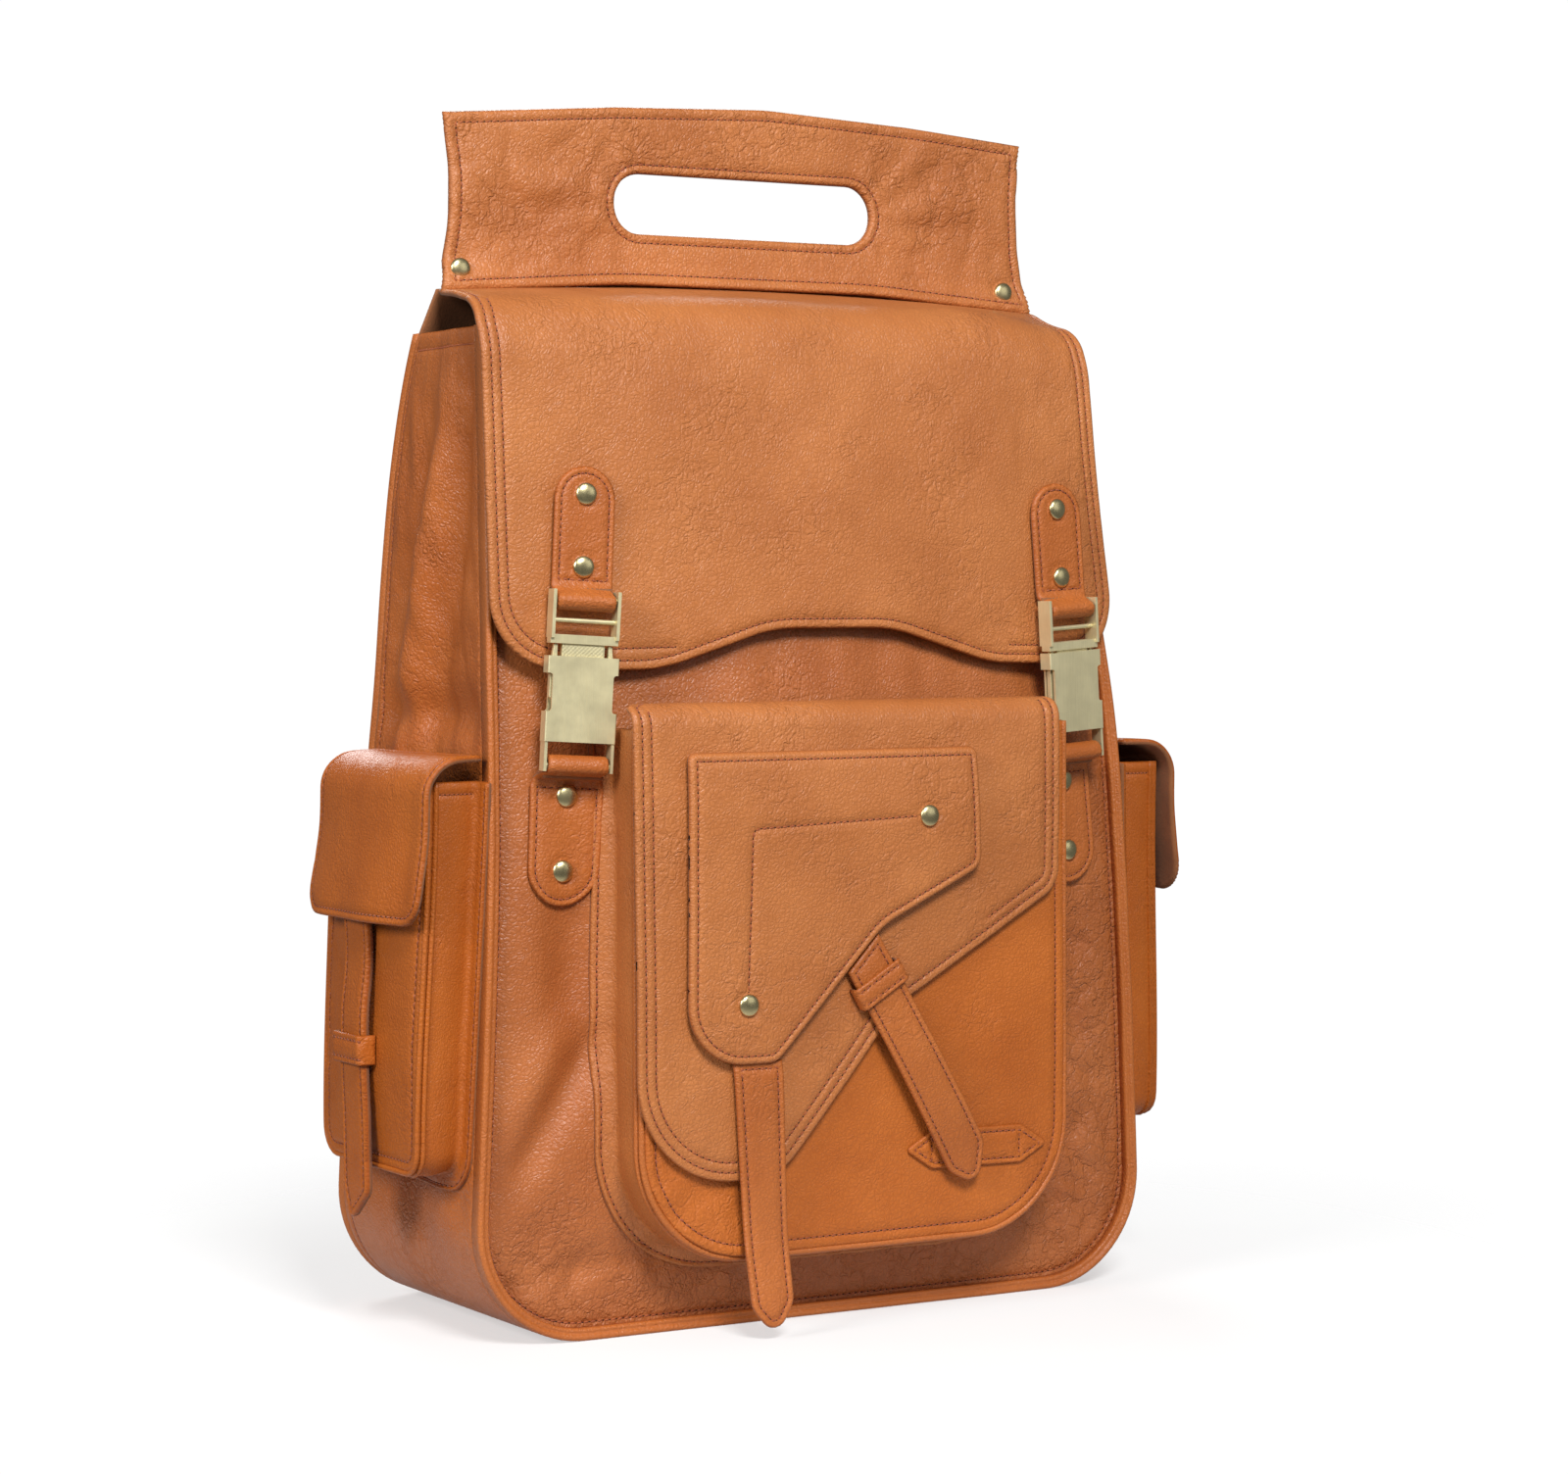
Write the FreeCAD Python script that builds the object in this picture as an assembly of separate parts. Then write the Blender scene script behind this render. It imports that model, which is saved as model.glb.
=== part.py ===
"""Leather backpack: a soft-sided bag with a buckled main flap and outer pockets.

Millimetres.  +Z is up, the front faces -Y, and the origin is the centre of the
base's underside.  Each solid below is one physical piece of the bag.
"""
import FreeCAD
import Part
import math
import os

Vector = FreeCAD.Vector

# ---- driving dimensions -----------------------------------------------------
LEATHER = 2.4            # thickness of one leather panel
BASE_HALF_WIDTH = 158.5
MID_HALF_WIDTH = 150.0   # half width at MID_HEIGHT
TOP_HALF_WIDTH = 144.0   # half width at BODY_HEIGHT
MID_HEIGHT = 200.0
BODY_HEIGHT = 400.0      # to the hem of the side gussets
CORNER_RADIUS = 47.0     # lower corners, seen from the front
SEAM_HEIGHT = 417.2      # where the back panel meets the handle
FRONT_EDGE = [(0.0, -63.0), (200.0, -62.0), (300.0, -54.0), (400.0, -45.0)]
BACK_EDGE = [(0.0, 61.0), (57.0, 61.0), (241.0, 42.0), (400.0, 8.0)]
FRONT_BULGE = [(0.0, 0.0), (60.0, 12.0), (150.0, 18.0), (200.0, 18.0),
               (300.0, 14.0), (400.0, 8.0)]
GUSSET_SEAM_X = 110.0    # the gusset strip changes to the base strip here
WELT_RADIUS = 2.0
CLEARANCE = 0.4          # between pieces that move apart

FLAP_EDGE_Y = -67.0      # outer face of the main flap at its side edges
FLAP_HALF_WIDTH = 150.0
CREASE_Y = -57.0         # start of the main flap's front bend
CREASE_Z = 409.6
CREASE_END_Z = 396.0

POCKET_HALF_WIDTH = 98.5
POCKET_BOTTOM = 33.0
POCKET_TOP = 232.0
POCKET_FLAP_TOP = 251.6
POCKET_FACE_Y = -97.0
POCKET_FLAP_Y = -100.4
OVERLAY_Y = -104.2
STRAP_FRONT_Y = -103.4
STRAP_THICKNESS = 2.4

SIDE_FACE_X = 172.5      # outer face of a side pocket
SIDE_FRONT_Y = -56.0
SIDE_BACK_Y = 29.0
SIDE_BOTTOM = 69.0
SIDE_TOP = 222.0
SIDE_FLAP_TOP = 229.0
SIDE_FLAP_BOTTOM = 166.0
SIDE_HINGE_X = 153.0
SIDE_STRAP_HALF = 11.0

BUCKLE_CENTRE = (116.0, -78.2, 253.5)
BUCKLE_TILT = 3.5        # degrees, the lower end stands further out
BUCKLE_TURN = 9.0        # degrees, faces a little outwards
LEFT_DRAW = 4.5          # the left tongue is drawn out by this much
RIGHT_DRAW = 0.5         # the right one is home

HANDLE_BACK_Y = -2.6
HANDLE_THICKNESS = 4.6
HANDLE_HINGE_Z = 418.4

STRAP_TOP = Vector(-48.0, 25.0, 350.0)
STRAP_BOTTOM = Vector(-120.0, 67.0, 30.0)
STRAP_BOW = 62.0
STRAP_BOW_ANGLE = 12.0   # degrees from straight back, outwards
PAD_WIDTH = 50.0
PAD_THICKNESS = 9.0
TAIL_WIDTH = 25.0
TAIL_THICKNESS = 3.0


# ---- helpers ----------------------------------------------------------------
def along(table, z):
    """Value at height z on a polyline of (height, value) pairs."""
    for (z0, v0), (z1, v1) in zip(table, table[1:]):
        if z <= z1:
            return v0 + (v1 - v0) * (z - z0) / (z1 - z0)
    return table[-1][1]


def half_width(z):
    return along([(0.0, BASE_HALF_WIDTH), (MID_HEIGHT, MID_HALF_WIDTH),
                  (BODY_HEIGHT, TOP_HALF_WIDTH)], z)


def in_xz(a, b):
    return Vector(a, 0.0, b)


def in_yz(a, b):
    return Vector(0.0, a, b)


def in_xy(a, b):
    return Vector(a, b, 0.0)


def rounded_edges(corners, place, closed=True):
    """Lines through (a, b, radius) corners, with tangent arcs at the radii."""
    count = len(corners)
    points = [place(c[0], c[1]) for c in corners]
    starts = []
    arcs = []
    for i, corner in enumerate(corners):
        radius = corner[2] if len(corner) > 2 else 0.0
        open_end = not closed and i in (0, count - 1)
        if radius <= 0.0 or open_end:
            starts.append((points[i], points[i]))
            arcs.append(None)
            continue
        before = (points[i - 1] - points[i]).normalize()
        after = (points[(i + 1) % count] - points[i]).normalize()
        half = before.getAngle(after) / 2.0
        reach = radius / math.tan(half)
        middle = (before + after).normalize()
        centre = points[i] + middle * (radius / math.sin(half))
        first = points[i] + before * reach
        last = points[i] + after * reach
        starts.append((first, last))
        arcs.append(Part.Arc(first, centre - middle * radius, last).toShape())
    edges = []
    for i in range(count):
        if arcs[i]:
            edges.append(arcs[i])
        if i == count - 1 and not closed:
            break
        begin = starts[i][1]
        end = starts[(i + 1) % count][0]
        if begin.distanceToPoint(end) > 1e-6:
            edges.append(Part.makeLine(begin, end))
    return edges


def prism(corners, place, low, high):
    """Extrude a rounded outline from low to high across its plane."""
    normal = {in_xz: Vector(0, 1, 0), in_yz: Vector(1, 0, 0), in_xy: Vector(0, 0, 1)}[place]
    face = Part.Face(Part.Wire(rounded_edges(corners, place)))
    face.translate(normal * low)
    return face.extrude(normal * (high - low))


def box(x0, x1, y0, y1, z0, z1):
    return Part.makeBox(x1 - x0, y1 - y0, z1 - z0, Vector(x0, y0, z0))


def mirrored(shape):
    return shape.mirror(Vector(0, 0, 0), Vector(1, 0, 0))


def save(name, shape):
    """Write one sub-part as a STEP file."""
    if not shape.isValid() or not shape.Solids:
        raise ValueError(name + " is not a closed valid solid")
    solids = shape.Solids
    result = solids[0] if len(solids) == 1 else Part.makeCompound(solids)
    result.exportStep("parts/" + name + ".step")
    print(name, len(solids), round(result.Volume / 1000.0, 2), "cm3")


def save_pair(name, left):
    save(name + "_left", left)
    save(name + "_right", mirrored(left))


def bowed_sheet(levels, thickness):
    """Sheet lofted up through (z, half width, edge y, bulge) levels."""
    wires = []
    for z, half, y, bulge in levels:
        outer = Part.BezierCurve()
        outer.setPoles([Vector(-half, y, z), Vector(0, y - 2 * bulge, z), Vector(half, y, z)])
        inner = Part.BezierCurve()
        inner.setPoles([Vector(half, y + thickness, z),
                        Vector(0, y + thickness - 2 * bulge, z),
                        Vector(-half, y + thickness, z)])
        sides = [Part.makeLine(Vector(half, y, z), Vector(half, y + thickness, z)),
                 Part.makeLine(Vector(-half, y + thickness, z), Vector(-half, y, z))]
        wires.append(Part.Wire([outer.toShape(), sides[0], inner.toShape(), sides[1]]))
    return Part.makeLoft(wires, True, True)


def rivet_cap(radius=4.4, height=2.0, crown=1.2):
    """Domed cap on the XY plane, crown towards +Z."""
    curve = (radius * radius + crown * crown) / (2.0 * crown)
    ball = Part.makeSphere(curve, Vector(0, 0, height - curve))
    return Part.makeCylinder(radius, height).common(ball)


def rivet_facing(point, outward):
    """Rivet cap seated at a point, crown pointing outward."""
    cap = rivet_cap()
    cap.Placement = FreeCAD.Placement(point, FreeCAD.Rotation(Vector(0, 0, 1), outward))
    return cap


# ---- body shell -------------------------------------------------------------
def body_outline(inset, top):
    """Front view of the bag, drawn in by inset, open upwards to height top."""
    low = BASE_HALF_WIDTH - inset
    radius = CORNER_RADIUS - inset
    high = half_width(BODY_HEIGHT) - (top - BODY_HEIGHT) * 0.17 - inset
    return [(-low, inset, radius), (low, inset, radius),
            (MID_HALF_WIDTH - inset, MID_HEIGHT), (TOP_HALF_WIDTH - inset, BODY_HEIGHT),
            (high, top), (-high, top),
            (inset - TOP_HALF_WIDTH, BODY_HEIGHT), (inset - MID_HALF_WIDTH, MID_HEIGHT)]


def side_outline(inset, bottom, top):
    """Side view of the bag between its front and back edges."""
    front = [(along(FRONT_EDGE, z) + inset, z) for z in (bottom, 200.0, 300.0, top)]
    back = [(along(BACK_EDGE, z) - inset, z) for z in (top, 241.0, 57.0, bottom)]
    return front + back


def body_prism(inset=0.0, top=BODY_HEIGHT + 20.0):
    return prism(body_outline(inset, top), in_xz, -150.0, 150.0)


def front_levels():
    heights = (-1.0, 60.0, 150.0, 200.0, 250.0, 300.0, 350.0, 400.0)
    return [(z, half_width(max(z, 0.0)) + 4.0, along(FRONT_EDGE, max(z, 0.0)),
             along(FRONT_BULGE, max(z, 0.0))) for z in heights]


def make_front_panel():
    return bowed_sheet(front_levels(), LEATHER).common(body_prism())


def make_back_panel():
    outer = [(along(BACK_EDGE, z), z) for z in (0.0, 57.0, 241.0, 400.0)]
    outer.append((-2.0, SEAM_HEIGHT))
    inner = [(y - LEATHER, z) for y, z in reversed(outer)]
    sheet = prism(outer + inner, in_yz, -170.0, 170.0)
    return sheet.common(body_prism())


def make_gusset_strip():
    ring = body_prism().cut(body_prism(LEATHER, BODY_HEIGHT + 25.0))
    between = prism(side_outline(LEATHER, 0.0, BODY_HEIGHT), in_yz, -170.0, 170.0)
    return ring.common(between)


def make_lining():
    gap = 5.4
    skin = 1.0
    inside = prism(side_outline(LEATHER + 1.0, gap, 394.0), in_yz, -170.0, 170.0)
    hollow = prism(side_outline(LEATHER + 1.0 + skin, gap + skin, 399.0), in_yz, -170.0, 170.0)
    outer = body_prism(gap).common(inside)
    return outer.cut(body_prism(gap + skin).common(hollow))


def tube_run(points, radius):
    """Round tube through straight runs, with ball joints at the corners."""
    pieces = []
    for a, b in zip(points, points[1:]):
        pieces.append(Part.makeCylinder(radius, (b - a).Length, a, b - a))
    for point in points[1:-1]:
        pieces.append(Part.makeSphere(radius, point))
    return pieces


def make_welt(edge, side):
    """Piping along the edge of the front (side -1) or back (side +1) panel."""
    radius = WELT_RADIUS
    inset = radius + 0.2
    first = 57.0
    proud = radius + 2.0
    low = BASE_HALF_WIDTH - inset
    foot = half_width(first) - inset
    path = [(-foot, first), (-low, radius, CORNER_RADIUS - inset),
            (low, radius, CORNER_RADIUS - inset), (foot, first)]
    wire = Part.Wire(rounded_edges(path, in_xz, closed=False))
    start = in_xz(-foot, first)
    ring = Part.Wire(Part.makeCircle(radius, start, start - in_xz(-low, radius)))
    tube = wire.makePipe(Part.Face(ring))
    y_first = along(edge, first) + side * proud
    tube.translate(Vector(0, y_first, 0))
    heights = [first] + [z for z, y in edge if z > first]
    for sign in (-1.0, 1.0):
        points = [Vector(sign * (half_width(z) - inset), along(edge, z) + side * proud, z)
                  for z in heights]
        for piece in tube_run(points, radius):
            tube = tube.fuse(piece)
        tube = tube.fuse(Part.makeSphere(radius, points[0]))
    return tube.removeSplitter()


# ---- front pocket -----------------------------------------------------------
def pocket_outline(inset, top):
    half = POCKET_HALF_WIDTH - inset
    radius = 45.0 - inset
    return [(-half, top), (-half, POCKET_BOTTOM + inset, radius),
            (half, POCKET_BOTTOM + inset, radius), (half, top)]


def make_pocket_face():
    back = POCKET_FACE_Y + LEATHER
    return prism(pocket_outline(0.0, POCKET_TOP), in_xz, POCKET_FACE_Y, back)


def make_pocket_gusset():
    front = POCKET_FACE_Y + LEATHER
    ring = prism(pocket_outline(0.0, POCKET_TOP), in_xz, front, -40.0)
    ring = ring.cut(prism(pocket_outline(LEATHER, POCKET_TOP + 5.0), in_xz, front - 1.0, -39.0))
    filled = bowed_sheet(front_levels(), 60.0)
    return ring.cut(filled)


def make_pocket_welt():
    radius = 1.6
    half = POCKET_HALF_WIDTH + radius + 0.1
    bottom = POCKET_BOTTOM - radius - 0.1
    corner = 45.0 + radius + 0.1
    path = [(-half, POCKET_TOP), (-half, bottom, corner), (half, bottom, corner),
            (half, POCKET_TOP)]
    wire = Part.Wire(rounded_edges(path, in_xz, closed=False))
    ring = Part.Wire(Part.makeCircle(radius, in_xz(-half, POCKET_TOP), Vector(0, 0, 1)))
    tube = wire.makePipe(Part.Face(ring))
    tube.translate(Vector(0, POCKET_FACE_Y + LEATHER / 2.0, 0))
    return tube


def make_pocket_tab():
    tab = [(19.5, 69.5, 1.5), (32.5, 77.0, 4.0), (76.0, 76.3, 4.0), (89.5, 67.8, 1.5),
           (76.0, 60.4, 4.0), (32.5, 61.0, 4.0)]
    return prism(tab, in_xz, POCKET_FACE_Y - 1.5, POCKET_FACE_Y - 0.05)


def make_pocket_flap():
    top = POCKET_FLAP_TOP
    sheet = 2.6
    hinge_y = -83.0
    fold = [(hinge_y, top), (POCKET_FLAP_Y, top, 9.0), (POCKET_FLAP_Y, 50.0),
            (POCKET_FLAP_Y + sheet, 50.0), (POCKET_FLAP_Y + sheet, top - sheet, 6.4),
            (hinge_y, top - sheet)]
    plan = [(-103.5, top + 5.0), (-102.5, 63.5, 42.0), (-40.0, 63.5, 24.0),
            (14.0, 129.5, 40.0), (93.5, 174.0, 14.0), (94.3, top + 5.0)]
    flap = prism(fold, in_yz, -130.0, 130.0).common(prism(plan, in_xz, -120.0, -60.0))
    root = [(-94.0, hinge_y), (-104.0, hinge_y - 12.0), (-104.0, -120.0), (95.0, -120.0),
            (95.0, hinge_y - 12.0), (93.0, hinge_y)]
    return flap.common(prism(root, in_xy, 40.0, 260.0))


def make_overlay():
    plan = [(-82.5, 232.5, 3.0), (-83.5, 110.0, 24.0), (-45.0, 110.0, 8.0),
            (4.0, 162.0, 30.0), (51.5, 184.0, 8.0), (50.0, 232.5, 3.0)]
    return prism(plan, in_xz, OVERLAY_Y, OVERLAY_Y + 3.2)


def make_vertical_strap():
    plan = [(-63.5, 109.6), (-41.5, 109.6), (-37.0, 18.0, 4.0), (-45.5, 4.0, 2.0),
            (-55.0, 18.0, 4.0)]
    return prism(plan, in_xz, STRAP_FRONT_Y, STRAP_FRONT_Y + STRAP_THICKNESS)


# The diagonal strap and its keeper share a local frame at the keeper's centre,
# with the strap running down local -Z.
DIAGONAL_CENTRE = Vector(3.0, 0.0, 138.4)
DIAGONAL_ANGLE = -31.0


def diagonal(shape):
    shape.rotate(Vector(0, 0, 0), Vector(0, 1, 0), DIAGONAL_ANGLE)
    shape.translate(DIAGONAL_CENTRE)
    return shape


def make_diagonal_root():
    plan = [(-10.0, 11.6), (10.0, 17.6), (10.0, -6.6), (-10.0, -6.6)]
    return diagonal(prism(plan, in_xz, STRAP_FRONT_Y + 0.2, STRAP_FRONT_Y + 2.6))


def make_diagonal_end():
    plan = [(-10.0, -7.0), (10.0, -7.0), (10.0, -84.0, 5.0), (0.0, -98.6, 2.0),
            (-10.0, -84.0, 5.0)]
    return diagonal(prism(plan, in_xz, STRAP_FRONT_Y + 0.2, STRAP_FRONT_Y + 2.6))


def make_diagonal_keeper():
    back = POCKET_FLAP_Y - 0.05
    band = box(-12.6, 12.6, -105.0, -103.7, -5.0, 5.0)
    for x in (-12.6, 10.5):
        band = band.fuse(box(x, x + 2.1, -104.0, back, -5.0, 5.0))
    return diagonal(band.removeSplitter())


# ---- side pockets (left one; the right one is its mirror image) --------------
def side_pocket_outline(inset, top):
    return [(SIDE_FRONT_Y + inset, top), (SIDE_FRONT_Y + inset, SIDE_BOTTOM + inset, 9.0),
            (SIDE_BACK_Y - inset, SIDE_BOTTOM + inset, 9.0), (SIDE_BACK_Y - inset, top)]


def make_side_face():
    outline = side_pocket_outline(0.0, SIDE_TOP)
    return prism(outline, in_yz, -SIDE_FACE_X, LEATHER - SIDE_FACE_X)


def make_side_gusset():
    outer = LEATHER - SIDE_FACE_X
    ring = prism(side_pocket_outline(0.0, SIDE_TOP), in_yz, outer, -140.0)
    hollow = prism(side_pocket_outline(LEATHER, SIDE_TOP + 5.0), in_yz, outer - 1.0, -139.0)
    return ring.cut(hollow).cut(body_prism())


def make_side_flap():
    sheet = 2.6
    out = -SIDE_FACE_X - 4.0
    fold = [(-SIDE_HINGE_X, SIDE_FLAP_TOP), (out, SIDE_FLAP_TOP, 10.0),
            (out - 1.2, SIDE_FLAP_BOTTOM), (out - 1.2 + sheet, SIDE_FLAP_BOTTOM),
            (out + sheet, SIDE_FLAP_TOP - sheet, 7.4),
            (-SIDE_HINGE_X, SIDE_FLAP_TOP - sheet)]
    plan = [(SIDE_FRONT_Y - 3.0, SIDE_FLAP_TOP + 5.0), (SIDE_FRONT_Y - 3.0, SIDE_FLAP_BOTTOM, 14.0),
            (SIDE_BACK_Y + 3.0, SIDE_FLAP_BOTTOM, 14.0), (SIDE_BACK_Y + 3.0, SIDE_FLAP_TOP + 5.0)]
    return prism(fold, in_xz, -80.0, 80.0).common(prism(plan, in_yz, -200.0, -100.0))


def side_strap_middle():
    return (SIDE_FRONT_Y + SIDE_BACK_Y) / 2.0


def make_side_strap():
    mid = side_strap_middle()
    half = SIDE_STRAP_HALF
    top = SIDE_FLAP_BOTTOM - 0.1
    plan = [(mid - half, top), (mid - half, 58.0, 6.0), (mid + half * 0.5, 45.0, 3.0),
            (mid + half, 60.0, 4.0), (mid + half, top)]
    return prism(plan, in_yz, -SIDE_FACE_X - 4.4, -SIDE_FACE_X - 1.8)


def make_side_keeper():
    mid = side_strap_middle()
    inner = SIDE_STRAP_HALF + 0.6
    outer = inner + 2.2
    low = 109.0
    high = 121.0
    face = -SIDE_FACE_X - 0.05
    band = box(-SIDE_FACE_X - 6.8, -SIDE_FACE_X - 5.0, mid - outer, mid + outer, low, high)
    for y in (mid - outer, mid + inner):
        band = band.fuse(box(-SIDE_FACE_X - 5.5, face, y, y + 2.2, low, high))
    return band.removeSplitter()


# ---- main flap --------------------------------------------------------------
def make_flap_top():
    thick = 2.6
    rear = -8.4
    rear_z = 417.4
    end = CREASE_Y + CLEARANCE
    profile = [(rear, rear_z), (end, CREASE_Z + 0.1), (end, CREASE_Z - thick),
               (rear, rear_z - thick)]
    plan = [(-141.0, rear), (141.0, rear), (152.0, CREASE_Y), (-152.0, CREASE_Y)]
    return prism(profile, in_yz, -160.0, 160.0).common(prism(plan, in_xy, 380.0, 430.0))


def make_flap_front():
    thick = 2.6
    outer = Part.Arc(in_yz(CREASE_Y, CREASE_Z), in_yz(-64.3, 405.4),
                     in_yz(FLAP_EDGE_Y, CREASE_END_Z)).toShape()
    inner = Part.Arc(in_yz(FLAP_EDGE_Y + thick, CREASE_END_Z), in_yz(-62.4, 403.2),
                     in_yz(CREASE_Y, CREASE_Z - thick)).toShape()
    ends = [Part.makeLine(in_yz(FLAP_EDGE_Y, CREASE_END_Z),
                          in_yz(FLAP_EDGE_Y + thick, CREASE_END_Z)),
            Part.makeLine(in_yz(CREASE_Y, CREASE_Z - thick), in_yz(CREASE_Y, CREASE_Z))]
    bend = Part.Face(Part.Wire([outer, ends[0], inner, ends[1]]))
    bend.translate(Vector(-FLAP_HALF_WIDTH - 2.0, 0, 0))
    bend = bend.extrude(Vector(2.0 * FLAP_HALF_WIDTH + 4.0, 0, 0))
    levels = [(255.0, 154.0, FLAP_EDGE_Y, 11.0), (300.0, 154.0, FLAP_EDGE_Y, 9.5),
              (340.0, 154.0, FLAP_EDGE_Y, 7.0), (CREASE_END_Z, 154.0, FLAP_EDGE_Y, 0.0)]
    plan = [(-152.0, CREASE_END_Z), (-148.5, 265.0, 28.0), (-78.0, 265.0, 70.0),
            (-28.0, 280.0, 70.0), (28.0, 280.0, 70.0), (78.0, 265.0, 70.0),
            (148.5, 265.0, 28.0), (152.0, CREASE_END_Z)]
    front = bowed_sheet(levels, thick).common(prism(plan, in_xz, -120.0, -40.0))
    return front.fuse(bend).removeSplitter()


# ---- buckles and their tabs, in a frame at the socket's centre ---------------
# Local x runs across, y backwards and z up; draw lifts the tongue out.
BAR_RADIUS = 1.5
LOOP_INNER = 1.9
LOOP_OUTER = 4.4
SOCKET_HALF = 14.5
SOCKET_TOP = 16.5
SOCKET_BOTTOM = -16.8
TONGUE_BAR_Z = 34.2
SOCKET_BAR_Z = -26.2
FLAP_TAB_FRONT = 2.6
BODY_TAB_FRONT = 4.9


def seat(shape, sign):
    """Place a buckle piece on the left (sign -1) or right (sign +1)."""
    shape.rotate(Vector(0, 0, 0), Vector(0, 1, 0), -BUCKLE_TILT * sign)
    shape.rotate(Vector(0, 0, 0), Vector(0, 0, 1), BUCKLE_TURN * sign)
    x, y, z = BUCKLE_CENTRE
    shape.translate(Vector(sign * x, y, z))
    return shape


def cross_rod(radius, half, z):
    return Part.makeCylinder(radius, 2.0 * half, Vector(-half, 0, z), Vector(1, 0, 0))


def make_flap_tab(draw):
    low = draw + 40.2
    top = draw + 85.5
    front = FLAP_TAB_FRONT
    back = FLAP_TAB_FRONT + 3.0
    plate = prism([(-13.0, low), (13.0, low), (13.0, top, 12.9), (-13.0, top, 12.9)],
                  in_xz, front, back)
    neck = prism([(LOOP_INNER, draw + TONGUE_BAR_Z), (LOOP_OUTER - 0.1, draw + TONGUE_BAR_Z),
                  (back, low + 1.0), (front, low + 1.0)], in_yz, -12.1, 12.1)
    loop = cross_rod(LOOP_OUTER, 12.1, draw + TONGUE_BAR_Z)
    tab = plate.fuse(neck).fuse(loop)
    return tab.cut(cross_rod(LOOP_INNER, 15.0, draw + TONGUE_BAR_Z))


def make_body_tab():
    top = -31.0
    low = -81.5
    front = BODY_TAB_FRONT
    back = BODY_TAB_FRONT + 3.0
    plate = prism([(-13.0, top), (-13.0, low, 12.9), (13.0, low, 12.9), (13.0, top)],
                  in_xz, front, back)
    web = prism([(back, -33.2), (front, -33.2), (0.5, -30.5), (3.6, -24.0)], in_yz, -12.6, 12.6)
    loop = cross_rod(LOOP_OUTER, 12.6, SOCKET_BAR_Z)
    tab = plate.fuse(web).fuse(loop)
    return tab.cut(cross_rod(LOOP_INNER, 15.0, SOCKET_BAR_Z))


def make_tongue(draw):
    out = 13.85
    wall = 1.3
    deep = 3.6
    frame = cross_rod(BAR_RADIUS, out - 0.5, draw + TONGUE_BAR_Z)
    for x in (-out, out - wall):
        arm = box(x, x + wall, -deep, deep, draw + 19.0, draw + 37.9)
        frame = frame.fuse(arm)
    frame = frame.fuse(cross_rod(0.9, out - 0.5, draw + 26.0))
    frame = frame.fuse(box(-out, out, -2.4, 2.4, draw + 16.9, draw + 20.4))
    frame = frame.fuse(box(-8.7, 8.7, -1.3, 1.3, draw - 7.0, draw + 17.5))
    return frame.removeSplitter()


def make_prong(draw, sign):
    points = [(10.4, 16.6), (11.8, 16.6), (12.9, 8.0), (12.9, -4.0), (11.9, -5.0),
              (11.6, 6.0), (10.4, 12.0)]
    plan = [(sign * x, draw + z) for x, z in points]
    return prism(plan, in_xz, -1.1, 1.1)


def make_socket():
    shell = box(-SOCKET_HALF, SOCKET_HALF, -3.3, 3.3, SOCKET_BOTTOM, SOCKET_TOP)
    corners = [e for e in shell.Edges
               if abs(e.BoundBox.XMin) > 14.0 and e.BoundBox.ZLength > 20.0]
    shell = shell.makeFillet(0.6, corners)
    shell = shell.cut(box(-13.3, 13.3, -2.1, 2.1, -12.0, SOCKET_TOP + 1.0))
    for x in (-SOCKET_HALF - 1.0, 12.4):
        window = [(x, -5.1, 1.2), (x + 3.1, -5.1, 1.2), (x + 3.1, 9.8, 1.2), (x, 9.8, 1.2)]
        shell = shell.cut(prism(window, in_xz, -5.0, 5.0))
    for x in (-14.2, 13.0):
        shell = shell.fuse(box(x, x + 1.2, -2.8, 2.8, -28.4, SOCKET_BOTTOM + 0.5))
    shell = shell.fuse(cross_rod(BAR_RADIUS, 13.6, SOCKET_BAR_Z))
    return shell.removeSplitter()


# ---- handle -----------------------------------------------------------------
def make_handle():
    low = HANDLE_HINGE_Z + 0.4
    edges = [Part.Arc(in_xz(141.5, low), in_xz(0, 426.0), in_xz(-141.5, low)).toShape(),
             Part.Arc(in_xz(-141.5, low), in_xz(-135.5, 457.0), in_xz(-138.5, 488.0)).toShape(),
             Part.Arc(in_xz(-138.5, 488.0), in_xz(0, 497.0), in_xz(138.5, 488.0)).toShape(),
             Part.Arc(in_xz(138.5, 488.0), in_xz(135.5, 457.0), in_xz(141.5, low)).toShape()]
    face = Part.Face(Part.Wire(edges))
    face.translate(Vector(0, HANDLE_BACK_Y - HANDLE_THICKNESS, 0))
    plate = face.extrude(Vector(0, HANDLE_THICKNESS, 0))
    slot = [(-62.0, 443.0, 12.0), (62.0, 443.0, 12.0), (62.0, 467.5, 12.0), (-62.0, 467.5, 12.0)]
    return plate.cut(prism(slot, in_xz, -20.0, 10.0))


def make_handle_rivets():
    front = HANDLE_BACK_Y - HANDLE_THICKNESS - 0.02
    return Part.makeCompound([rivet_facing(Vector(x, front, 427.0), Vector(0, -1, 0))
                              for x in (-130.0, 130.0)])


# ---- shoulder straps (left one; the right one is its mirror image) -----------
def strap_frame():
    """Rotation and length of the chord frame: x down the chord, y outwards."""
    chord = STRAP_BOTTOM - STRAP_TOP
    span = chord.Length
    down = Vector(chord).normalize()
    angle = math.radians(STRAP_BOW_ANGLE)
    bow = Vector(-math.sin(angle), math.cos(angle), 0.0)
    bow = (bow - down * bow.dot(down)).normalize()
    return FreeCAD.Placement(STRAP_TOP, FreeCAD.Rotation(down, bow, down.cross(bow), "XYZ")), span


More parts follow.
